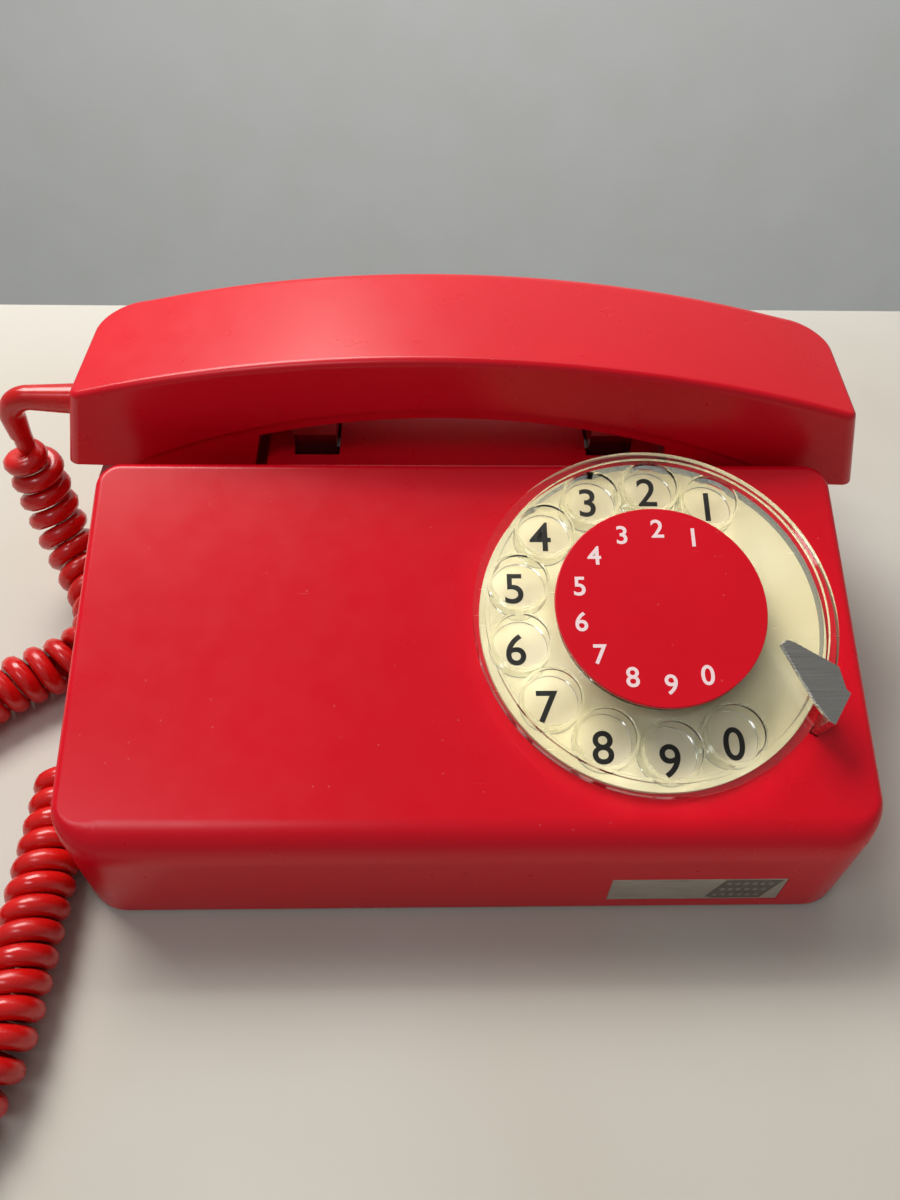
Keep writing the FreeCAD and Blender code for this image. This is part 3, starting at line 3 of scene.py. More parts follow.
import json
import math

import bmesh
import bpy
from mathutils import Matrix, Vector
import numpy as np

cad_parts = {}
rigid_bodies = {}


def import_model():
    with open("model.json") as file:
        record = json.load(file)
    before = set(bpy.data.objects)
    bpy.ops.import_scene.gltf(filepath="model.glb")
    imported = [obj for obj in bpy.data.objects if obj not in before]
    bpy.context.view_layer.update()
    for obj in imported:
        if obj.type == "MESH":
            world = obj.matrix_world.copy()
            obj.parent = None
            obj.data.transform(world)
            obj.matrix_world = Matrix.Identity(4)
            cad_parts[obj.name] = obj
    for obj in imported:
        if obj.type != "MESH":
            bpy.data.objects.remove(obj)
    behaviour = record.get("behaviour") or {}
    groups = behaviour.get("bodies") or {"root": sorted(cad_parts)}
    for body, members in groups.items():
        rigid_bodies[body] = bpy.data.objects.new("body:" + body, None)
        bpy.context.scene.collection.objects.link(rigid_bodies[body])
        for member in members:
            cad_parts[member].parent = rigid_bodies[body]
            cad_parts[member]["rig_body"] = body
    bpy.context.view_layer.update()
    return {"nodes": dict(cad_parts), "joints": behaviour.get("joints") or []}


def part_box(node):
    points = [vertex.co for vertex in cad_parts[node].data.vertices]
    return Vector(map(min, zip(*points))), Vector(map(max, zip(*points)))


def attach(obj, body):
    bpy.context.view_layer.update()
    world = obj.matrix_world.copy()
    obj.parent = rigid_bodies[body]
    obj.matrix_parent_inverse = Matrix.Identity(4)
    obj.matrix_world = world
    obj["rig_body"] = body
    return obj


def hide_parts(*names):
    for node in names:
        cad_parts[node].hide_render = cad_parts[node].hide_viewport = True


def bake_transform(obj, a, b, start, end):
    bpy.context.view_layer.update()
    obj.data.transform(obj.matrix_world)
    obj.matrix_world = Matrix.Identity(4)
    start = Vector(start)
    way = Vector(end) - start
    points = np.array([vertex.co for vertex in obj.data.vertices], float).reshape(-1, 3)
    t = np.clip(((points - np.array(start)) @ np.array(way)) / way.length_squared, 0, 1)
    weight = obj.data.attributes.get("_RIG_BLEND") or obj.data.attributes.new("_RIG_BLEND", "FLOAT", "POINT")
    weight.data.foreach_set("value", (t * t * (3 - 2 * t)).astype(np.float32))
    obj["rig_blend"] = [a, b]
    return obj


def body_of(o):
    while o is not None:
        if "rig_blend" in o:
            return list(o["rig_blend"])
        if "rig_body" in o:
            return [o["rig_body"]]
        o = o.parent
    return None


bl_info = {
    "name": "Desk telephone",
    "version": (1, 0, 0),
    "blender": (4, 5, 0),
    "location": "3D View > Sidebar > Telephone",
    "description": "Builds the visible pieces of a desk telephone with a finger wheel",
    "category": "Object",
}

for leftover in list(bpy.data.objects):
    bpy.data.objects.remove(leftover)

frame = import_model()

MM = 0.001


# ---------------------------------------------------------------- the model's own places

def joint(name):
    return next(j for j in frame["joints"] if j["name"] == name)


FACE_OUT = -Vector(joint("dial_spin")["axis"]).normalized()
FACE_UP = Vector((0.0, FACE_OUT.z, -FACE_OUT.y))
DIAL_CENTRE = Vector(joint("dial_spin")["pos_m"])
DIAL_TURN = Matrix((Vector((1, 0, 0)), FACE_UP, FACE_OUT)).transposed().to_4x4()
HOLE_FIRST = 61.8         # angle of the first finger well from the dial's right, in degrees
HOLE_STEP = 26.2          # from one well to the next
HOLE_COUNT = 10
INK_MM = 0.05             # thickness of the printed ink
NUMERAL_RING = 37.7       # radius of the ring of black numerals, in millimetres
NUMERAL_SHIFT = (0.65, 0.2)   # the printed ring sits this far off the dial's middle
SMALL_NUMERAL_RING = 21.1     # the same for the white numerals on the disc


def on_dial(across, up, out):
    """A place on the dial, in millimetres from its middle, as a place in the model."""
    return DIAL_CENTRE + MM * (Vector((across, 0, 0)) + FACE_UP * up + FACE_OUT * out)


def dial_height(node):
    """How far a node stands out from the dial's face, lowest and highest, in millimetres."""
    heights = [(v.co - DIAL_CENTRE).dot(FACE_OUT) / MM for v in frame["nodes"][node].data.vertices]
    return min(heights), max(heights)


# ---------------------------------------------------------------- colours and nodes

def linear(code):
    """An sRGB hex colour as the linear colour that shaders take."""
    parts = [int(code[i:i + 2], 16) / 255 for i in (1, 3, 5)]
    return [c / 12.92 if c <= 0.04045 else ((c + 0.055) / 1.055) ** 2.4 for c in parts] + [1.0]


def add(tree, kind, inputs=None, **settings):
    """Adds a node with its settings, and its sockets set to values or linked."""
    node = tree.nodes.new(kind)
    for key, value in settings.items():
        setattr(node, key, value)
    for socket, value in (inputs or {}).items():
        if isinstance(value, bpy.types.NodeSocket):
            tree.links.new(value, node.inputs[socket])
        else:
            node.inputs[socket].default_value = value
    return node


def per_mm(size):
    """A texture scale whose pattern repeats about every so many millimetres."""
    return 1.0 / (size * MM)


def start_finish(name, **sockets):
    """A new material with its shader: returns material, tree, shader and Object coordinates."""
    material = bpy.data.materials.new(name)
    material.use_nodes = True
    tree = material.node_tree
    tree.nodes.clear()
    shader = add(tree, "ShaderNodeBsdfPrincipled",
                 {key.replace("_", " "): value for key, value in sockets.items()})
    add(tree, "ShaderNodeOutputMaterial", {"Surface": shader.outputs["BSDF"]})
    place = add(tree, "ShaderNodeTexCoord").outputs["Object"]
    return material, tree, shader, place


def noise(tree, place, size, detail=3.0, roughness=0.5):
    return add(tree, "ShaderNodeTexNoise", {"Vector": place, "Scale": per_mm(size),
                                            "Detail": detail, "Roughness": roughness}).outputs["Fac"]


def stretch(tree, value, low, high, to_low=0.0, to_high=1.0):
    return add(tree, "ShaderNodeMapRange", {"Value": value, "From Min": low, "From Max": high,
                                            "To Min": to_low, "To Max": to_high}).outputs["Result"]


def times(tree, a, b):
    return add(tree, "ShaderNodeMath", {0: a, 1: b}, operation="MULTIPLY").outputs["Value"]


def mix(tree, factor, a, b):
    return add(tree, "ShaderNodeMix", {"Factor": factor, "A": a, "B": b},
               data_type="RGBA").outputs["Result"]


# ---------------------------------------------------------------- helpers for pieces

def soften(shape, crease):
    """Smooth faces, with hard edges left where two faces meet at more than the crease angle."""
    for face in shape.faces:
        face.smooth = True
    for edge in shape.edges:
        edge.smooth = len(edge.link_faces) == 2 and edge.calc_face_angle(0.0) < math.radians(crease)


def make_piece(name, shape, material, body):
    """Turns a bmesh into a piece that stands at the origin, rides on a body and has its slot."""
    mesh = bpy.data.meshes.new(name)
    shape.to_mesh(mesh)
    shape.free()
    mesh.materials.clear()
    mesh.materials.append(material)
    piece = bpy.data.objects.new(name, mesh)
    bpy.context.scene.collection.objects.link(piece)
    if body:
        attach(piece, body)
    return piece


def moulded(name, node, material, crease=30.0, edge=0.0, segments=2):
    """A smooth piece with softened edges that stands for a CAD node, from a merged copy of it."""
    shape = bmesh.new()
    shape.from_mesh(frame["nodes"][node].data)
    bmesh.ops.remove_doubles(shape, verts=shape.verts, dist=0.002 * MM)
    if edge:    # a piece whose edges stay sharp keeps its triangles, as it has holes in its flat faces
        bmesh.ops.dissolve_limit(shape, angle_limit=math.radians(0.2), verts=shape.verts,
                                 edges=shape.edges)
    soften(shape, crease)
    piece = make_piece(name, shape, material, body_of(frame["nodes"][node])[0])
    if "custom_normal" in piece.data.attributes:
        piece.data.attributes.remove(piece.data.attributes["custom_normal"])
    if edge:
        bevel = piece.modifiers.new("soft_edges", "BEVEL")
        bevel.width = edge * MM
        bevel.segments = segments
        bevel.limit_method = "ANGLE"
        bevel.angle_limit = math.radians(crease)
        bevel.harden_normals = True
        bevel.miter_outer = "MITER_ARC"
    weighted = piece.modifiers.new("even_shading", "WEIGHTED_NORMAL")
    weighted.keep_sharp = True
    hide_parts(node)
    return piece


def finish_nodes(material, *nodes):
    """Gives CAD nodes that stay as they are a detailed material."""
    for node in nodes:
        for held in frame["nodes"][node].material_slots:
            held.material = material


def numerals(name, height, radius, out, boldness, material, body, shift=(0.0, 0.0)):
    """The ten numerals in a ring on the dial, upright, as one piece. Boldness fattens the strokes."""
    ring = bmesh.new()
    for step in range(HOLE_COUNT):
        curve = bpy.data.curves.new("numeral", "FONT")
        curve.body = str((step + 1) % HOLE_COUNT)
        curve.extrude = 0.5
        curve.offset = boldness
        curve.resolution_u = 6
        holder = bpy.data.objects.new("numeral", curve)
        bpy.context.scene.collection.objects.link(holder)
        made = bpy.data.meshes.new_from_object(
            holder.evaluated_get(bpy.context.evaluated_depsgraph_get()))
        low = Vector(map(min, *(v.co for v in made.vertices)))
        high = Vector(map(max, *(v.co for v in made.vertices)))
        grow = height / (high.y - low.y)
        middle = (low + high) / 2
        angle = math.radians(HOLE_FIRST + step * HOLE_STEP)
        place = on_dial(shift[0] + radius * math.cos(angle), shift[1] + radius * math.sin(angle), out)
        made.transform(Matrix.Translation(place) @ DIAL_TURN
                       @ Matrix.Diagonal((grow * MM, grow * MM, INK_MM * MM, 1.0))
                       @ Matrix.Translation((-middle.x, -middle.y, -low.z)))
        ring.from_mesh(made)
        bpy.data.objects.remove(holder)
        bpy.data.meshes.remove(made)
    soften(ring, 30.0)
    return make_piece(name, ring, material, body)


# ---------------------------------------------------------------- finishes

def scratches(tree, place, length, width, turn, share):
    """Short thin streaks: 1 on a streak, 0 off it. Sizes are in millimetres."""
    turned = add(tree, "ShaderNodeMapping", {"Vector": place, "Rotation": turn,
                                             "Scale": (per_mm(length), per_mm(width), per_mm(width))})
    cells = add(tree, "ShaderNodeTexVoronoi", {"Vector": turned.outputs["Vector"], "Scale": 1.0,
                                               "Randomness": 1.0})
    return stretch(tree, cells.outputs["Distance"], share * 0.5, share, 1.0, 0.0)


def red_abs(colours):
    """Injection moulded ABS, polished tool: clear reflections with a slight peel and years of wear."""
    material, tree, shader, place = start_finish("red_ABS_moulded", IOR=1.54, Specular_IOR_Level=0.32)
    broad = noise(tree, place, 70.0, 2.0)
    wear = add(tree, "ShaderNodeMath", {
        0: scratches(tree, place, 60.0, 2.0, (0.0, 0.0, 0.5), 0.05),
        1: scratches(tree, place, 34.0, 1.5, (0.2, 0.0, -0.9), 0.05)}, operation="MAXIMUM").outputs["Value"]
    patches = stretch(tree, noise(tree, place, 22.0, 1.0), 0.55, 0.7)
    wear = times(tree, wear, patches)
    specks = add(tree, "ShaderNodeTexVoronoi", {"Vector": place, "Scale": per_mm(6.0)})
    dust = stretch(tree, specks.outputs["Distance"], 0.03, 0.055, 1.0, 0.0)
    base = mix(tree, stretch(tree, broad, 0.3, 0.7), linear(colours.body_dark_hex), linear(colours.body_hex))
    base = mix(tree, times(tree, wear, 0.12), base, linear("#E8808A"))
    base = mix(tree, times(tree, dust, 0.15), base, linear("#F0A0A0"))
    tree.links.new(base, shader.inputs["Base Color"])
    rough = add(tree, "ShaderNodeMath", {0: stretch(tree, noise(tree, place, 9.0, 4.0), 0.3, 0.7, 0.27, 0.32),
                                         1: times(tree, wear, 0.3)}, operation="ADD")
    tree.links.new(rough.outputs["Value"], shader.inputs["Roughness"])
    peel = noise(tree, place, 1.6, 2.0)
    bump = add(tree, "ShaderNodeBump", {"Height": peel, "Strength": 0.05, "Distance": 0.05 * MM})
    grooves = add(tree, "ShaderNodeBump", {"Height": wear, "Strength": 0.3, "Distance": 0.03 * MM,
                                           "Normal": bump.outputs["Normal"]}, invert=True)
    tree.links.new(grooves.outputs["Normal"], shader.inputs["Normal"])
    return material


def clear_acrylic(colours):
    """Cast clear acrylic, turned and polished: sees through with bright bent edges and hair scratches."""
    material, tree, shader, place = start_finish("clear_acrylic_polished", IOR=1.49,
                                                 Transmission_Weight=1.0)
    shader.inputs["Base Color"].default_value = linear("#F4F5EE")
    wear = scratches(tree, place, 22.0, 1.8, (0.0, 0.3, 0.8), 0.08)
    rough = add(tree, "ShaderNodeMath", {0: stretch(tree, noise(tree, place, 5.0), 0.3, 0.7, 0.015, 0.05),
                                         1: times(tree, wear, 0.3)}, operation="ADD")
    tree.links.new(rough.outputs["Value"], shader.inputs["Roughness"])
    # lamps shine through the clear wheel on to the plate below it
    lamps = add(tree, "ShaderNodeLightPath").outputs["Is Shadow Ray"]
    clear = add(tree, "ShaderNodeBsdfTransparent", {"Color": linear("#F4F4F0")})
    both = add(tree, "ShaderNodeMixShader", {0: lamps, 1: shader.outputs["BSDF"], 2: clear.outputs["BSDF"]})
    tree.links.new(both.outputs["Shader"], tree.get_output_node("ALL").inputs["Surface"])
    return material


def ivory_print(colours):
    """Screen printed ivory card under a matt varnish: yellowed, with rub marks."""
    material, tree, shader, place = start_finish("ivory_card_printed", IOR=1.45)
    age = stretch(tree, noise(tree, place, 26.0, 4.0), 0.3, 0.7)
    base = mix(tree, age, linear(colours.plate_hex), linear(colours.plate_aged_hex))
    rub = scratches(tree, place, 12.0, 1.7, (0.3, 0.0, 1.1), 0.10)
    rub = times(tree, rub, stretch(tree, noise(tree, place, 14.0, 1.0), 0.52, 0.6))
    base = mix(tree, times(tree, rub, 0.35), base, linear("#9A8F78"))
    tree.links.new(base, shader.inputs["Base Color"])
    tree.links.new(stretch(tree, noise(tree, place, 3.0), 0.3, 0.7, 0.42, 0.6), shader.inputs["Roughness"])
    grain = add(tree, "ShaderNodeBump", {"Height": noise(tree, place, 0.8, 2.0), "Strength": 0.15,
                                         "Distance": 0.02 * MM})
    tree.links.new(grain.outputs["Normal"], shader.inputs["Normal"])
    return material


def printed_ink(name, code, wear_code):
    """Screen ink: a thin even coat with pin holes and a soft shine."""
    material, tree, shader, place = start_finish(name, IOR=1.48)
    holes = stretch(tree, noise(tree, place, 0.5, 2.0), 0.62, 0.72)
    tree.links.new(mix(tree, times(tree, holes, 0.5), linear(code), linear(wear_code)),
                   shader.inputs["Base Color"])
    tree.links.new(stretch(tree, noise(tree, place, 1.5), 0.3, 0.7, 0.35, 0.55), shader.inputs["Roughness"])
    return material


def worked_metal(name, code, roughness, grain_mm, turn=(0.0, 0.0, 0.0), depth=0.01):
    """A metal whose tool or grit marks run one way: grain_mm is their length and width."""
    material, tree, shader, place = start_finish(name, Metallic=1.0)
    lined = add(tree, "ShaderNodeMapping", {"Vector": place, "Rotation": turn,
                                            "Scale": (per_mm(grain_mm[0]), per_mm(grain_mm[1]),
                                                      per_mm(grain_mm[1]))}).outputs["Vector"]
    marks = add(tree, "ShaderNodeTexNoise", {"Vector": lined, "Scale": 1.0, "Detail": 3.0}).outputs["Fac"]
    dull = [c * 0.88 for c in linear(code)[:3]] + [1.0]
    tree.links.new(mix(tree, stretch(tree, marks, 0.3, 0.7), dull, linear(code)), shader.inputs["Base Color"])
    tree.links.new(stretch(tree, marks, 0.3, 0.7, roughness * 0.75, roughness * 1.3),
                   shader.inputs["Roughness"])
    bump = add(tree, "ShaderNodeBump", {"Height": marks, "Strength": 0.4, "Distance": depth * MM})
    tree.links.new(bump.outputs["Normal"], shader.inputs["Normal"])
    return material


def plain_moulding(name, code, light_code, roughness, grain_mm, ior=1.5, depth=0.03):
    """A moulded or rolled non-metal: two close colours, uneven shine and a fine grain."""
    material, tree, shader, place = start_finish(name, IOR=ior)
    tree.links.new(mix(tree, stretch(tree, noise(tree, place, grain_mm * 8, 3.0), 0.3, 0.7),
                       linear(code), linear(light_code)), shader.inputs["Base Color"])
    tree.links.new(stretch(tree, noise(tree, place, grain_mm * 3), 0.3, 0.7,
                           roughness * 0.8, roughness * 1.2), shader.inputs["Roughness"])
    bump = add(tree, "ShaderNodeBump", {"Height": noise(tree, place, grain_mm, 2.0), "Strength": 0.2,
                                        "Distance": depth * MM})
    tree.links.new(bump.outputs["Normal"], shader.inputs["Normal"])
    return material


def copper_winding(colours):
    """Enamelled copper wound in even layers under clear tape: fine rings round the bobbin."""
    material, tree, shader, place = start_finish("enamelled_copper_winding", Metallic=0.6)
    # the real wire is 0.1 mm thick; the rings are drawn at 0.5 mm so that they show
    rings = add(tree, "ShaderNodeTexWave", {"Vector": place, "Scale": per_mm(0.5) / 20,
                                            "Distortion": 0.6}, bands_direction="Z").outputs["Fac"]
    tree.links.new(mix(tree, rings, linear("#6E2A12"), linear("#B8612E")), shader.inputs["Base Color"])
    tree.links.new(stretch(tree, noise(tree, place, 4.0), 0.3, 0.7, 0.3, 0.5), shader.inputs["Roughness"])
    bump = add(tree, "ShaderNodeBump", {"Height": rings, "Strength": 0.5, "Distance": 0.1 * MM})
    tree.links.new(bump.outputs["Normal"], shader.inputs["Normal"])
    return material


def soft_vinyl(colours):
    """Extruded soft PVC jacket: a warm glossy red with a fine grain and skin grease."""
    material, tree, shader, place = start_finish("soft_PVC_extruded", IOR=1.53)
    tree.links.new(mix(tree, stretch(tree, noise(tree, place, 20.0), 0.3, 0.7),
                       linear(colours.cord_hex), linear(colours.cord_dark_hex)), shader.inputs["Base Color"])
    tree.links.new(stretch(tree, noise(tree, place, 6.0, 3.0), 0.3, 0.7, 0.16, 0.32),
                   shader.inputs["Roughness"])
    bump = add(tree, "ShaderNodeBump", {"Height": noise(tree, place, 1.0, 2.0), "Strength": 0.08,
                                        "Distance": 0.03 * MM})
    tree.links.new(bump.outputs["Normal"], shader.inputs["Normal"])
    return material


def table_cloth(colours):
    """White cotton sateen laid flat: a fine rib with soft creases."""
    material, tree, shader, place = start_finish("cotton_cloth_woven", IOR=1.45, Sheen_Weight=0.15)
    # a real thread is 0.25 mm; the rib is drawn at 1.2 mm so that it shows
    rib = add(tree, "ShaderNodeTexWave", {"Vector": place, "Scale": per_mm(1.2) / 20, "Distortion": 1.5,
                                          "Detail": 1.0}, bands_direction="DIAGONAL").outputs["Fac"]
    shade = stretch(tree, noise(tree, place, 160.0, 2.0), 0.3, 0.7)
    tree.links.new(mix(tree, shade, linear(colours.cloth_hex), linear(colours.cloth_warm_hex)),
                   shader.inputs["Base Color"])
    shader.inputs["Roughness"].default_value = 0.85
    fine = add(tree, "ShaderNodeBump", {"Height": rib, "Strength": 0.15, "Distance": 0.1 * MM})
    creases = add(tree, "ShaderNodeBump", {"Height": noise(tree, place, 90.0, 3.0), "Strength": 0.25,
                                           "Distance": 4.0 * MM, "Normal": fine.outputs["Normal"]})
    tree.links.new(creases.outputs["Normal"], shader.inputs["Normal"])
    return material


# ---------------------------------------------------------------- sizes and colours to change

class PhoneSizes(bpy.types.PropertyGroup):
    wire: bpy.props.FloatProperty(name="Cord thickness", description="Diameter of the cord's wire",
                                  default=5.8 * MM, unit="LENGTH")
    coil: bpy.props.FloatProperty(name="Coil diameter", description="Outer diameter of the curly cord",
                                  default=17.4 * MM, unit="LENGTH")
    lying_pitch: bpy.props.FloatProperty(name="Resting pitch", unit="LENGTH", default=6.25 * MM,
                                         description="Distance between turns where the cord lies")
    hanging_pitch: bpy.props.FloatProperty(name="Hanging pitch", unit="LENGTH", default=7.0 * MM,
                                           description="Distance between turns where it hangs")
    numeral: bpy.props.FloatProperty(name="Numeral height", unit="LENGTH", default=8.6 * MM,
                                     description="Height of the black numerals under the wheel")
    small_numeral: bpy.props.FloatProperty(name="Small numeral height", unit="LENGTH", default=5.2 * MM,
                                           description="Height of the white numerals on the disc")


class PhoneColours(bpy.types.PropertyGroup):
    body_hex: bpy.props.StringProperty(name="Body", description="sRGB hex colour of the body",
                                       default="#D6001C")
    body_dark_hex: bpy.props.StringProperty(name="Body, darker", default="#CE0019",
                                            description="sRGB hex colour of its darker patches")
    cord_hex: bpy.props.StringProperty(name="Cord", description="sRGB hex colour of the cord",
                                       default="#D01612")
    cord_dark_hex: bpy.props.StringProperty(name="Cord, darker", default="#B80C0C",
                                            description="sRGB hex colour of its darker patches")
    plate_hex: bpy.props.StringProperty(name="Number plate", default="#E6DCC0",
                                        description="sRGB hex colour of the number plate")
    plate_aged_hex: bpy.props.StringProperty(name="Number plate, yellowed", default="#D6C8A2",
                                             description="sRGB hex colour where it has yellowed")
    cloth_hex: bpy.props.StringProperty(name="Cloth", description="sRGB hex colour of the table cloth",
                                        default="#C6C2BA")
    cloth_warm_hex: bpy.props.StringProperty(name="Cloth, warmer", default="#BCB5A9",
                                             description="sRGB hex colour of its warmer patches")


def sizes():
    return bpy.context.scene.phone_sizes


def finish(name):
    """The finish of that name, made once."""
    if name not in FINISHES:
        FINISHES[name] = FINISH_MAKERS[name](bpy.context.scene.phone_colours)
    return FINISHES[name]


FINISHES = {}
FINISH_MAKERS = {
    "red_abs": red_abs,
    "clear_acrylic": clear_acrylic,
    "ivory": ivory_print,
    "black_ink": lambda c: printed_ink("black_screen_ink", "#15130F", "#4A453A"),
    "white_ink": lambda c: printed_ink("white_screen_ink", "#F3D9DA", "#D87A84"),
    "stainless": lambda c: worked_metal("stainless_steel_brushed", "#C4C1BA", 0.26, (14.0, 0.22),
                                        (0.3, 0.0, -0.55), 0.003),
    "zinc_steel": lambda c: worked_metal("steel_zinc_plated", "#B4B2AC", 0.38, (1.5, 1.2)),
    "brass": lambda c: worked_metal("brass_machined", "#C9A25C", 0.32, (4.0, 0.4)),
    "aluminium": lambda c: worked_metal("aluminium_etched", "#CFCBC0", 0.42, (6.0, 0.5), depth=0.006),
    "dark_aluminium": lambda c: worked_metal("aluminium_rolled_pattern", "#8C8880", 0.45, (2.0, 0.5)),
    "rubber": lambda c: plain_moulding("rubber_moulded", "#191817", "#262422", 0.7, 0.7, 1.52),
    "phenolic": lambda c: plain_moulding("phenolic_moulded", "#14110F", "#201C19", 0.4, 1.2, 1.6),
    "board": lambda c: plain_moulding("phenolic_board_pressed", "#7A4F24", "#8E6233", 0.5, 0.9, 1.55),
    "copper": copper_winding,
    "vinyl": soft_vinyl,
    "cloth": table_cloth,
    "wall": lambda c: plain_moulding("wall_painted", "#F0F1ED", "#F4F5F2", 0.9, 12.0, 1.45, 0.5),
}


# ---------------------------------------------------------------- the pieces

CAMERA_PLACE = Vector((-11.64, -189.0, 253.46)) * MM
CAMERA_ANGLES = (50.58, 2.40, 1.82)   # down, to the right and rolled, in degrees
CAMERA_LENS, CAMERA_SENSOR = 28.5, 36.0


class PHONE_OT_camera(bpy.types.Operator):
    """Puts the camera in front of and above the telephone"""
    bl_idname = "phone.camera"
    bl_label = "Camera"

    def execute(self, context):
        pitch, yaw, roll = (math.radians(angle) for angle in CAMERA_ANGLES)
        ahead = Vector((math.sin(yaw) * math.cos(pitch), math.cos(yaw) * math.cos(pitch), -math.sin(pitch)))
        side = Vector((math.cos(yaw), -math.sin(yaw), 0.0))
        over = side.cross(ahead)
        right = side * math.cos(roll) + over * math.sin(roll)
        up = over * math.cos(roll) - side * math.sin(roll)
        data = bpy.data.cameras.new("camera")
        data.lens = CAMERA_LENS
        data.sensor_width = CAMERA_SENSOR
        data.clip_start = 0.01
        camera = bpy.data.objects.new("camera", data)
        camera.matrix_world = (Matrix.Translation(CAMERA_PLACE)
                               @ Matrix((right, up, -ahead)).transposed().to_4x4())
        context.scene.collection.objects.link(camera)
        context.scene.camera = camera
        return {"FINISHED"}


ROUTE = [(-135.2, 37.4, 58.0), (-135.2, 37.4, 53.0), (-134.8, 36.5, 40.0), (-131.7, 31.0, 24.0),
         (-124.7, 20.5, 12.0), (-117.5, 9.0, 9.0), (-115.2, -3.0, 9.0), (-122.0, -12.5, 9.0),
         (-133.0, -18.5, 9.0), (-145.0, -27.5, 9.0), (-157.5, -39.0, 9.0), (-168.0, -55.0, 9.0),
         (-174.5, -74.0, 9.0), (-176.0, -95.0, 9.0), (-172.5, -116.0, 9.0), (-163.5, -135.0, 9.0),
         (-149.0, -149.5, 9.0), (-132.5, -153.0, 9.0), (-119.5, -145.0, 9.0), (-113.6, -130.0, 9.0),
         (-112.9, -111.0, 9.0), (-113.0, -92.0, 9.0), (-113.1, -74.0, 9.0), (-113.2, -60.0, 9.2),
         (-113.4, -48.0, 9.8), (-114.5, -39.0, 11.2)]
COIL_STARTS = 4.0     # how far the wire runs straight before it curls, in millimetres
COIL_ENDS = 11.0      # and after it has uncurled
CURL_RUN = 6.0        # the wire reaches the coil's radius over this run
TURN_POINTS = 20      # points in each turn of the helix
HANGING_HEIGHT = 22.0  # above this the cord hangs and its turns open, in millimetres
BEND_REACH = 12       # a bend is measured over this many of the route's runs each way
MOST_SQUEEZED = 0.42  # the tightest that the inside of a bend may press the turns together
TURN_ROOM = 1.03      # room for each turn, in wire diameters, where the turns press together
STRETCH_FROM, STRETCH_TO = (-0.135, 0.037, 0.018), (-0.135, 0.037, 0.056)


def route_line(points):
    """The smooth line of a route, from its NURBS spline."""
    curve = bpy.data.curves.new("route", "CURVE")
    curve.dimensions = "3D"
    curve.resolution_u = 48
    spline = curve.splines.new("NURBS")
    spline.points.add(len(points) - 1)
    for held, point in zip(spline.points, points):
        held.co = (*(c * MM for c in point), 1.0)
    spline.order_u = 3
    spline.use_endpoint_u = True
    holder = bpy.data.objects.new("route", curve)
    bpy.context.scene.collection.objects.link(holder)
    made = bpy.data.meshes.new_from_object(
        holder.evaluated_get(bpy.context.evaluated_depsgraph_get()))
    line = [v.co.copy() for v in made.vertices]
    bpy.data.objects.remove(holder)
    bpy.data.meshes.remove(made)
    return line


def curl(line, wire, coil, lying_pitch, hanging_pitch):
    """The wire's own line: a right-handed helix round a route, opened where the route bends."""
    runs = [(b - a).length for a, b in zip(line, line[1:])]
    total = sum(runs)
    ways = [(b - a).normalized() for a, b in zip(line, line[1:])]
    bends = []
    for i in range(len(ways)):
        a, b = max(0, i - BEND_REACH), min(len(ways) - 1, i + BEND_REACH)
        bends.append(ways[a].angle(ways[b], 0.0) / max(sum(runs[a:b]), 1e-6))
    side = ways[0].cross(Vector((0, 1, 0))).normalized()
    coil_radius = (coil - wire) / 2
    wire_line = []
    angle = math.radians(200.0)
    gone = 0.0
    for i, run in enumerate(runs):
        way = ways[i]
        side = (side - way * side.dot(way)).normalized()
        other = way.cross(side)
        hanging = line[i].z > HANGING_HEIGHT * MM
        pitch = hanging_pitch if hanging else lying_pitch
        squeezed = max(1.0 - coil_radius * bends[i], MOST_SQUEEZED)
        pitch = max(pitch, TURN_ROOM * wire / squeezed)
        steps = max(1, math.ceil(run / (pitch / TURN_POINTS)))
        for step in range(steps):
            far = gone + run * step / steps
            start = (far / MM - COIL_STARTS) / CURL_RUN
            end = ((total - far) / MM - COIL_ENDS) / CURL_RUN
            share = max(0.0, min(1.0, start, end))
            share = share * share * (3 - 2 * share)
            if share > 0.0:
                angle += math.tau * run / steps / pitch
            middle = line[i].lerp(line[i + 1], step / steps)
            swing = side * math.cos(angle) + other * math.sin(angle)
            wire_line.append(middle + swing * coil_radius * share)
        gone += run
    wire_line.append(line[-1].copy())
    return wire_line


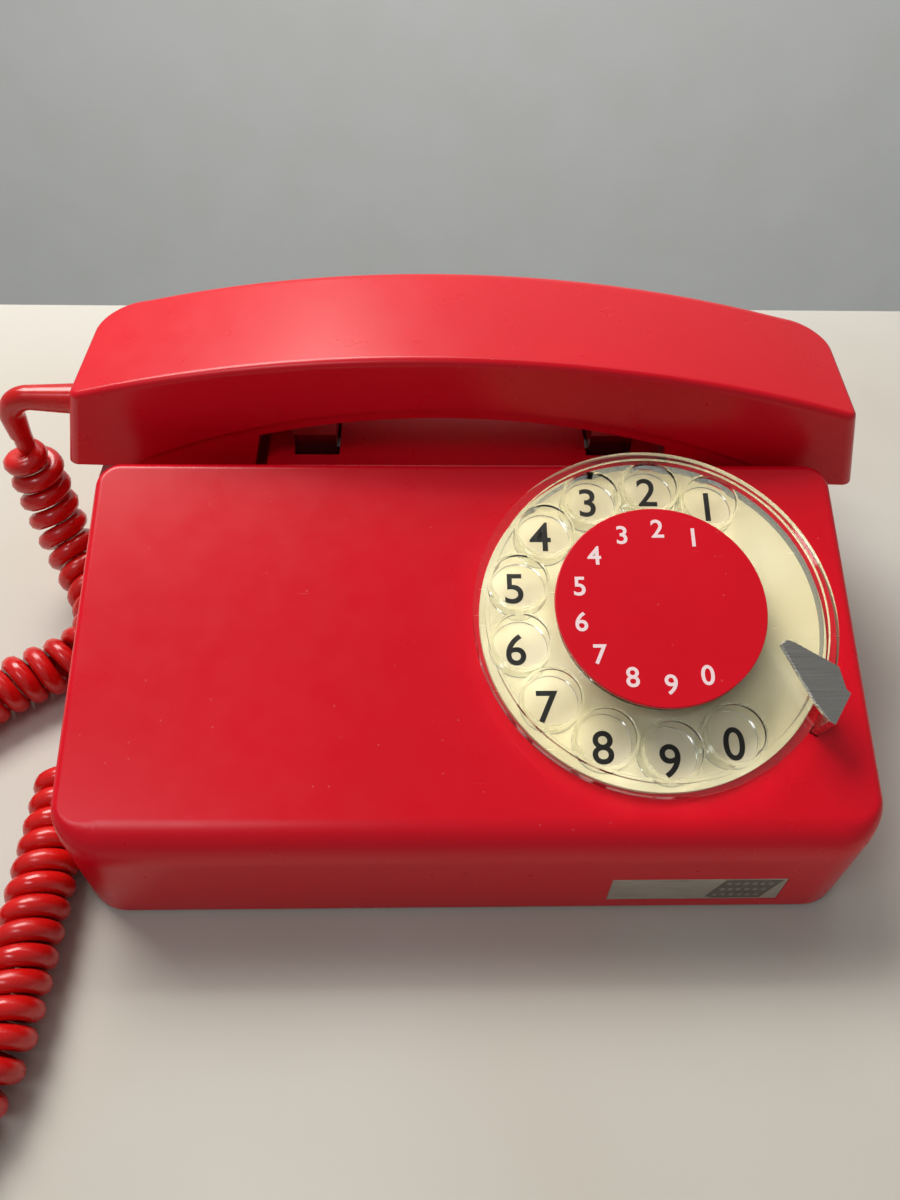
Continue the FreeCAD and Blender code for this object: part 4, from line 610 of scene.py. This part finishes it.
class PHONE_OT_cord(bpy.types.Operator):
    """Makes the curly cord with its sleeve and gland"""
    bl_idname = "phone.cord"
    bl_label = "Curly cord"

    def execute(self, context):
        given = sizes()
        wire_line = curl(route_line(ROUTE), given.wire, given.coil, given.lying_pitch,
                         given.hanging_pitch)
        curve = bpy.data.curves.new("wire", "CURVE")
        curve.dimensions = "3D"
        curve.bevel_depth = given.wire / 2
        curve.bevel_resolution = 3
        curve.use_fill_caps = True
        spline = curve.splines.new("POLY")
        spline.points.add(len(wire_line) - 1)
        for held, point in zip(spline.points, wire_line):
            held.co = (*point, 1.0)
        holder = bpy.data.objects.new("wire", curve)
        context.scene.collection.objects.link(holder)
        made = bpy.data.meshes.new_from_object(
            holder.evaluated_get(context.evaluated_depsgraph_get()))
        bpy.data.objects.remove(holder)
        shape = bmesh.new()
        shape.from_mesh(made)
        bpy.data.meshes.remove(made)
        bmesh.ops.remove_doubles(shape, verts=shape.verts, dist=0.005 * MM)
        bmesh.ops.recalc_face_normals(shape, faces=shape.faces)
        soften(shape, 60.0)
        cord = make_piece("curly_cord", shape, finish("vinyl"), None)
        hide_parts("cord_drop", "cord_hanging_coil", "cord_lying_coil", "cord_tail")
        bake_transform(cord, "housing", "handset", start=STRETCH_FROM, end=STRETCH_TO)
        sleeve = moulded("cord_sleeve_piece", "cord_sleeve", finish("vinyl"), 40.0, 0.3)
        gland = moulded("cord_gland_piece", "cord_gland", finish("vinyl"), 40.0, 0.3)
        return {"FINISHED"}


class PHONE_OT_housing(bpy.types.Operator):
    """Makes the body shell, the base, its feet and the inlet"""
    bl_idname = "phone.housing"
    bl_label = "Housing"

    def execute(self, context):
        moulded("body_shell", "top_shell", finish("red_abs"), 25.0, 0.25)
        moulded("base", "base_tray", finish("red_abs"), 25.0, 0.25)
        moulded("feet", "rubber_feet", finish("rubber"), 30.0, 0.4)
        moulded("inlet_bush", "line_inlet", finish("phenolic"), 30.0, 0.2)
        moulded("base_screw_heads", "base_screws", finish("zinc_steel"), 30.0, 0.1)
        return {"FINISHED"}


class PHONE_OT_handset(bpy.types.Operator):
    """Makes the handset's two shells and its screws"""
    bl_idname = "phone.handset"
    bl_label = "Handset"

    def execute(self, context):
        moulded("handset_back", "handset_shell", finish("red_abs"), 22.0, 0.3)
        moulded("handset_face", "handset_inner", finish("red_abs"), 22.0, 0.3)
        moulded("handset_screw_heads", "handset_screws", finish("zinc_steel"), 30.0, 0.1)
        return {"FINISHED"}


class PHONE_OT_dial(bpy.types.Operator):
    """Makes the finger wheel, its disc, the number plate and the finger stop"""
    bl_idname = "phone.dial"
    bl_label = "Dial"

    def execute(self, context):
        given = sizes()
        moulded("plate", "number_plate", finish("ivory"), 30.0, 0.15)
        moulded("wheel", "finger_wheel", finish("clear_acrylic"), 30.0)
        moulded("disc", "centre_disc", finish("red_abs"), 30.0, 0.3)
        moulded("stop_blade", "finger_stop", finish("stainless"), 30.0, 0.2)
        numerals("plate_numerals", given.numeral / MM, NUMERAL_RING,
                 dial_height("number_plate")[1] - 0.01, 0.01,
                 finish("black_ink"), "housing", NUMERAL_SHIFT)
        numerals("disc_numerals", given.small_numeral / MM, SMALL_NUMERAL_RING,
                 dial_height("centre_disc")[1] - 0.01, 0.014,
                 finish("white_ink"), "dial")
        return {"FINISHED"}


class PHONE_OT_cradle(bpy.types.Operator):
    """Makes the two hook posts and what carries them"""
    bl_idname = "phone.cradle"
    bl_label = "Cradle"

    def execute(self, context):
        moulded("posts", "hook_posts", finish("clear_acrylic"), 30.0)
        finish_nodes(finish("zinc_steel"), "hook_yoke", "hook_springs", "hook_bracket")
        finish_nodes(finish("phenolic"), "hook_switch")
        finish_nodes(finish("brass"), "hook_leaves")
        return {"FINISHED"}


KNURL_COLUMNS, KNURL_ROWS = 6, 3
KNURL_STEP = (2.2 * MM, 3.5 * MM)     # across and up, from one diamond to the next
KNURL_LEAN = 1.8 * MM                 # how far the field's ends lean over half its height
KNURL_HALF = 5.6 * MM                 # half the field's height
KNURL_ENDS = (18.0 * MM, 3.0 * MM)    # the field's ends, back from the plate's right end
LINE_HALF = 5.2 * MM                  # the two raised lines, above and below the middle


def flat_field(left, right, middle, front):
    """The knurl's ground: a slanted sheet that stands a little out of the plate."""
    field = bmesh.new()
    outline = [(left - KNURL_LEAN, middle - KNURL_HALF), (right - KNURL_LEAN, middle - KNURL_HALF),
               (right + KNURL_LEAN, middle + KNURL_HALF), (left + KNURL_LEAN, middle + KNURL_HALF)]
    outer = [field.verts.new((x, front - 0.08 * MM, z)) for x, z in outline]
    inner = [field.verts.new((x, front + 0.1 * MM, z)) for x, z in outline]
    field.faces.new(outer)
    for number in range(4):
        after = (number + 1) % 4
        field.faces.new((outer[after], outer[number], inner[number], inner[after]))
    return field


class PHONE_OT_nameplate(bpy.types.Operator):
    """Makes the small blank metal plate with its knurled end"""
    bl_idname = "phone.nameplate"
    bl_label = "Nameplate"

    def execute(self, context):
        moulded("blank_plate", "nameplate", finish("aluminium"), 30.0, 0.12)
        low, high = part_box("nameplate")
        middle = (low.z + high.z) / 2
        lines = bmesh.new()
        for side in (-1, 1):
            bmesh.ops.create_cube(lines, size=1.0, matrix=(
                Matrix.Translation((low.x + 14.5 * MM, low.y, middle + side * LINE_HALF))
                @ Matrix.Diagonal((26.0 * MM, 0.3 * MM, 0.5 * MM, 1.0))))
        soften(lines, 20.0)
        make_piece("plate_lines", lines, finish("aluminium"), "housing")
        left, right = (high.x - back for back in KNURL_ENDS)
        knurl = flat_field(left, right, middle, low.y)
        for column in range(KNURL_COLUMNS):
            for row in range(KNURL_ROWS):
                up = row - (KNURL_ROWS - 1) / 2
                place = Vector((left + 2.0 * MM + column * KNURL_STEP[0] + up * KNURL_LEAN / 1.6,
                                low.y - 0.2 * MM, middle + up * KNURL_STEP[1]))
                bmesh.ops.create_cone(
                    knurl, cap_ends=True, segments=4, radius1=1.3 * MM, radius2=0.3 * MM,
                    depth=0.5 * MM, matrix=Matrix.Translation(place) @ Matrix.Rotation(math.pi / 2, 4, "X"))
        soften(knurl, 20.0)
        make_piece("plate_knurl", knurl, finish("dark_aluminium"), "housing")
        return {"FINISHED"}


class PHONE_OT_works(bpy.types.Operator):
    """Gives the pieces inside their finishes"""
    bl_idname = "phone.works"
    bl_label = "Works inside"

    def execute(self, context):
        finish_nodes(finish("brass"), "dial_shaft", "dial_pillars", "main_gear", "idler_pinion",
                     "idler_wheel", "governor_spindle", "governor_weights", "impulse_blades",
                     "gong_posts", "clapper", "board_stands", "terminal_screws")
        finish_nodes(finish("zinc_steel"), "wheel_screw", "dial_frame", "dial_back_plate", "dial_screws",
                     "return_spring", "governor_cup", "gong_left", "gong_right", "gong_screws",
                     "ringer_yoke", "board_screws")
        finish_nodes(finish("phenolic"), "impulse_cam", "contact_stack", "capacitor", "terminal_block",
                     "receiver_capsule", "transmitter_capsule")
        finish_nodes(finish("copper"), "ringer_coils", "induction_coil")
        finish_nodes(finish("board"), "circuit_board")
        return {"FINISHED"}


TABLE_MIDDLE, TABLE_SIZE = (0.0, -0.402, -0.015), (3.0, 1.20, 0.03, 1.0)
TABLE_EDGE = 0.006
WALL_PLACE, WALL_HALF = (0.0, 1.6, 0.0), 3.0
ROOM_COLOUR, ROOM_LIGHT = "#DADCDC", 0.34


def lamp(name, place, aim, width, height, power, colour):
    """A rectangular lamp that looks from its place to its aim."""
    data = bpy.data.lights.new(name, "AREA")
    data.shape = "RECTANGLE"
    data.size = width
    data.size_y = height
    data.energy = power
    data.color = linear(colour)[:3]
    light = bpy.data.objects.new(name, data)
    light.location = place
    light.rotation_euler = (Vector(aim) - Vector(place)).to_track_quat("-Z", "Y").to_euler()
    bpy.context.scene.collection.objects.link(light)


class PHONE_OT_stage(bpy.types.Operator):
    """Makes the cloth-covered table, the wall behind it and the lights"""
    bl_idname = "phone.stage"
    bl_label = "Stage"

    def execute(self, context):
        table = bmesh.new()
        bmesh.ops.create_cube(table, size=1.0, matrix=(
            Matrix.Translation(TABLE_MIDDLE) @ Matrix.Diagonal(TABLE_SIZE)))
        bmesh.ops.bevel(table, geom=table.edges[:], offset=TABLE_EDGE, affect="EDGES", segments=3,
                        profile=0.5, material=-1)
        soften(table, 40.0)
        floor = make_piece("table_top", table, finish("cloth"), None)
        wall = bmesh.new()
        bmesh.ops.create_grid(wall, x_segments=1, y_segments=1, size=WALL_HALF, matrix=(
            Matrix.Translation(WALL_PLACE) @ Matrix.Rotation(math.pi / 2, 4, "X")))
        back = make_piece("wall", wall, finish("wall"), None)
        lamp("ceiling", (-0.45, 0.6, 0.95), (0, 0.05, 0), 0.8, 0.5, 15.0, "#FFFDF8")
        lamp("window", (-0.5, -0.5, 1.1), (0, 0, 0), 0.5, 0.2, 2.5, "#F4F8FF")
        lamp("wall_wash", (0.0, 0.75, 1.3), (0, 1.6, 0.3), 1.6, 0.3, 9.0, "#FFFFFF")
        world = bpy.data.worlds.new("room")
        world.use_nodes = True
        for node in world.node_tree.nodes:
            if node.type == "BACKGROUND":
                node.inputs["Color"].default_value = linear(ROOM_COLOUR)
                node.inputs["Strength"].default_value = ROOM_LIGHT
        context.scene.world = world
        context.scene.view_settings.view_transform = "Standard"
        return {"FINISHED"}


MAKERS = (PHONE_OT_camera, PHONE_OT_cord, PHONE_OT_housing, PHONE_OT_handset, PHONE_OT_dial,
          PHONE_OT_cradle, PHONE_OT_nameplate, PHONE_OT_works, PHONE_OT_stage)


class PHONE_PT_panel(bpy.types.Panel):
    """Lists the pieces that can be made"""
    bl_label = "Telephone"
    bl_idname = "PHONE_PT_panel"
    bl_space_type = "VIEW_3D"
    bl_region_type = "UI"
    bl_category = "Telephone"

    def draw(self, context):
        for maker in MAKERS:
            self.layout.operator(maker.bl_idname)
        for group in (context.scene.phone_sizes, context.scene.phone_colours):
            box = self.layout.box()
            for key in group.__annotations__:
                box.prop(group, key)


CLASSES = (PhoneSizes, PhoneColours, *MAKERS, PHONE_PT_panel)


def register():
    for held in CLASSES:
        bpy.utils.register_class(held)
    bpy.types.Scene.phone_sizes = bpy.props.PointerProperty(type=PhoneSizes)
    bpy.types.Scene.phone_colours = bpy.props.PointerProperty(type=PhoneColours)


def unregister():
    del bpy.types.Scene.phone_colours
    del bpy.types.Scene.phone_sizes
    for held in reversed(CLASSES):
        bpy.utils.unregister_class(held)


def main():
    register()
    for maker in MAKERS:
        group, name = maker.bl_idname.split(".")
        getattr(getattr(bpy.ops, group), name)()


if __name__ == "__main__":
    main()
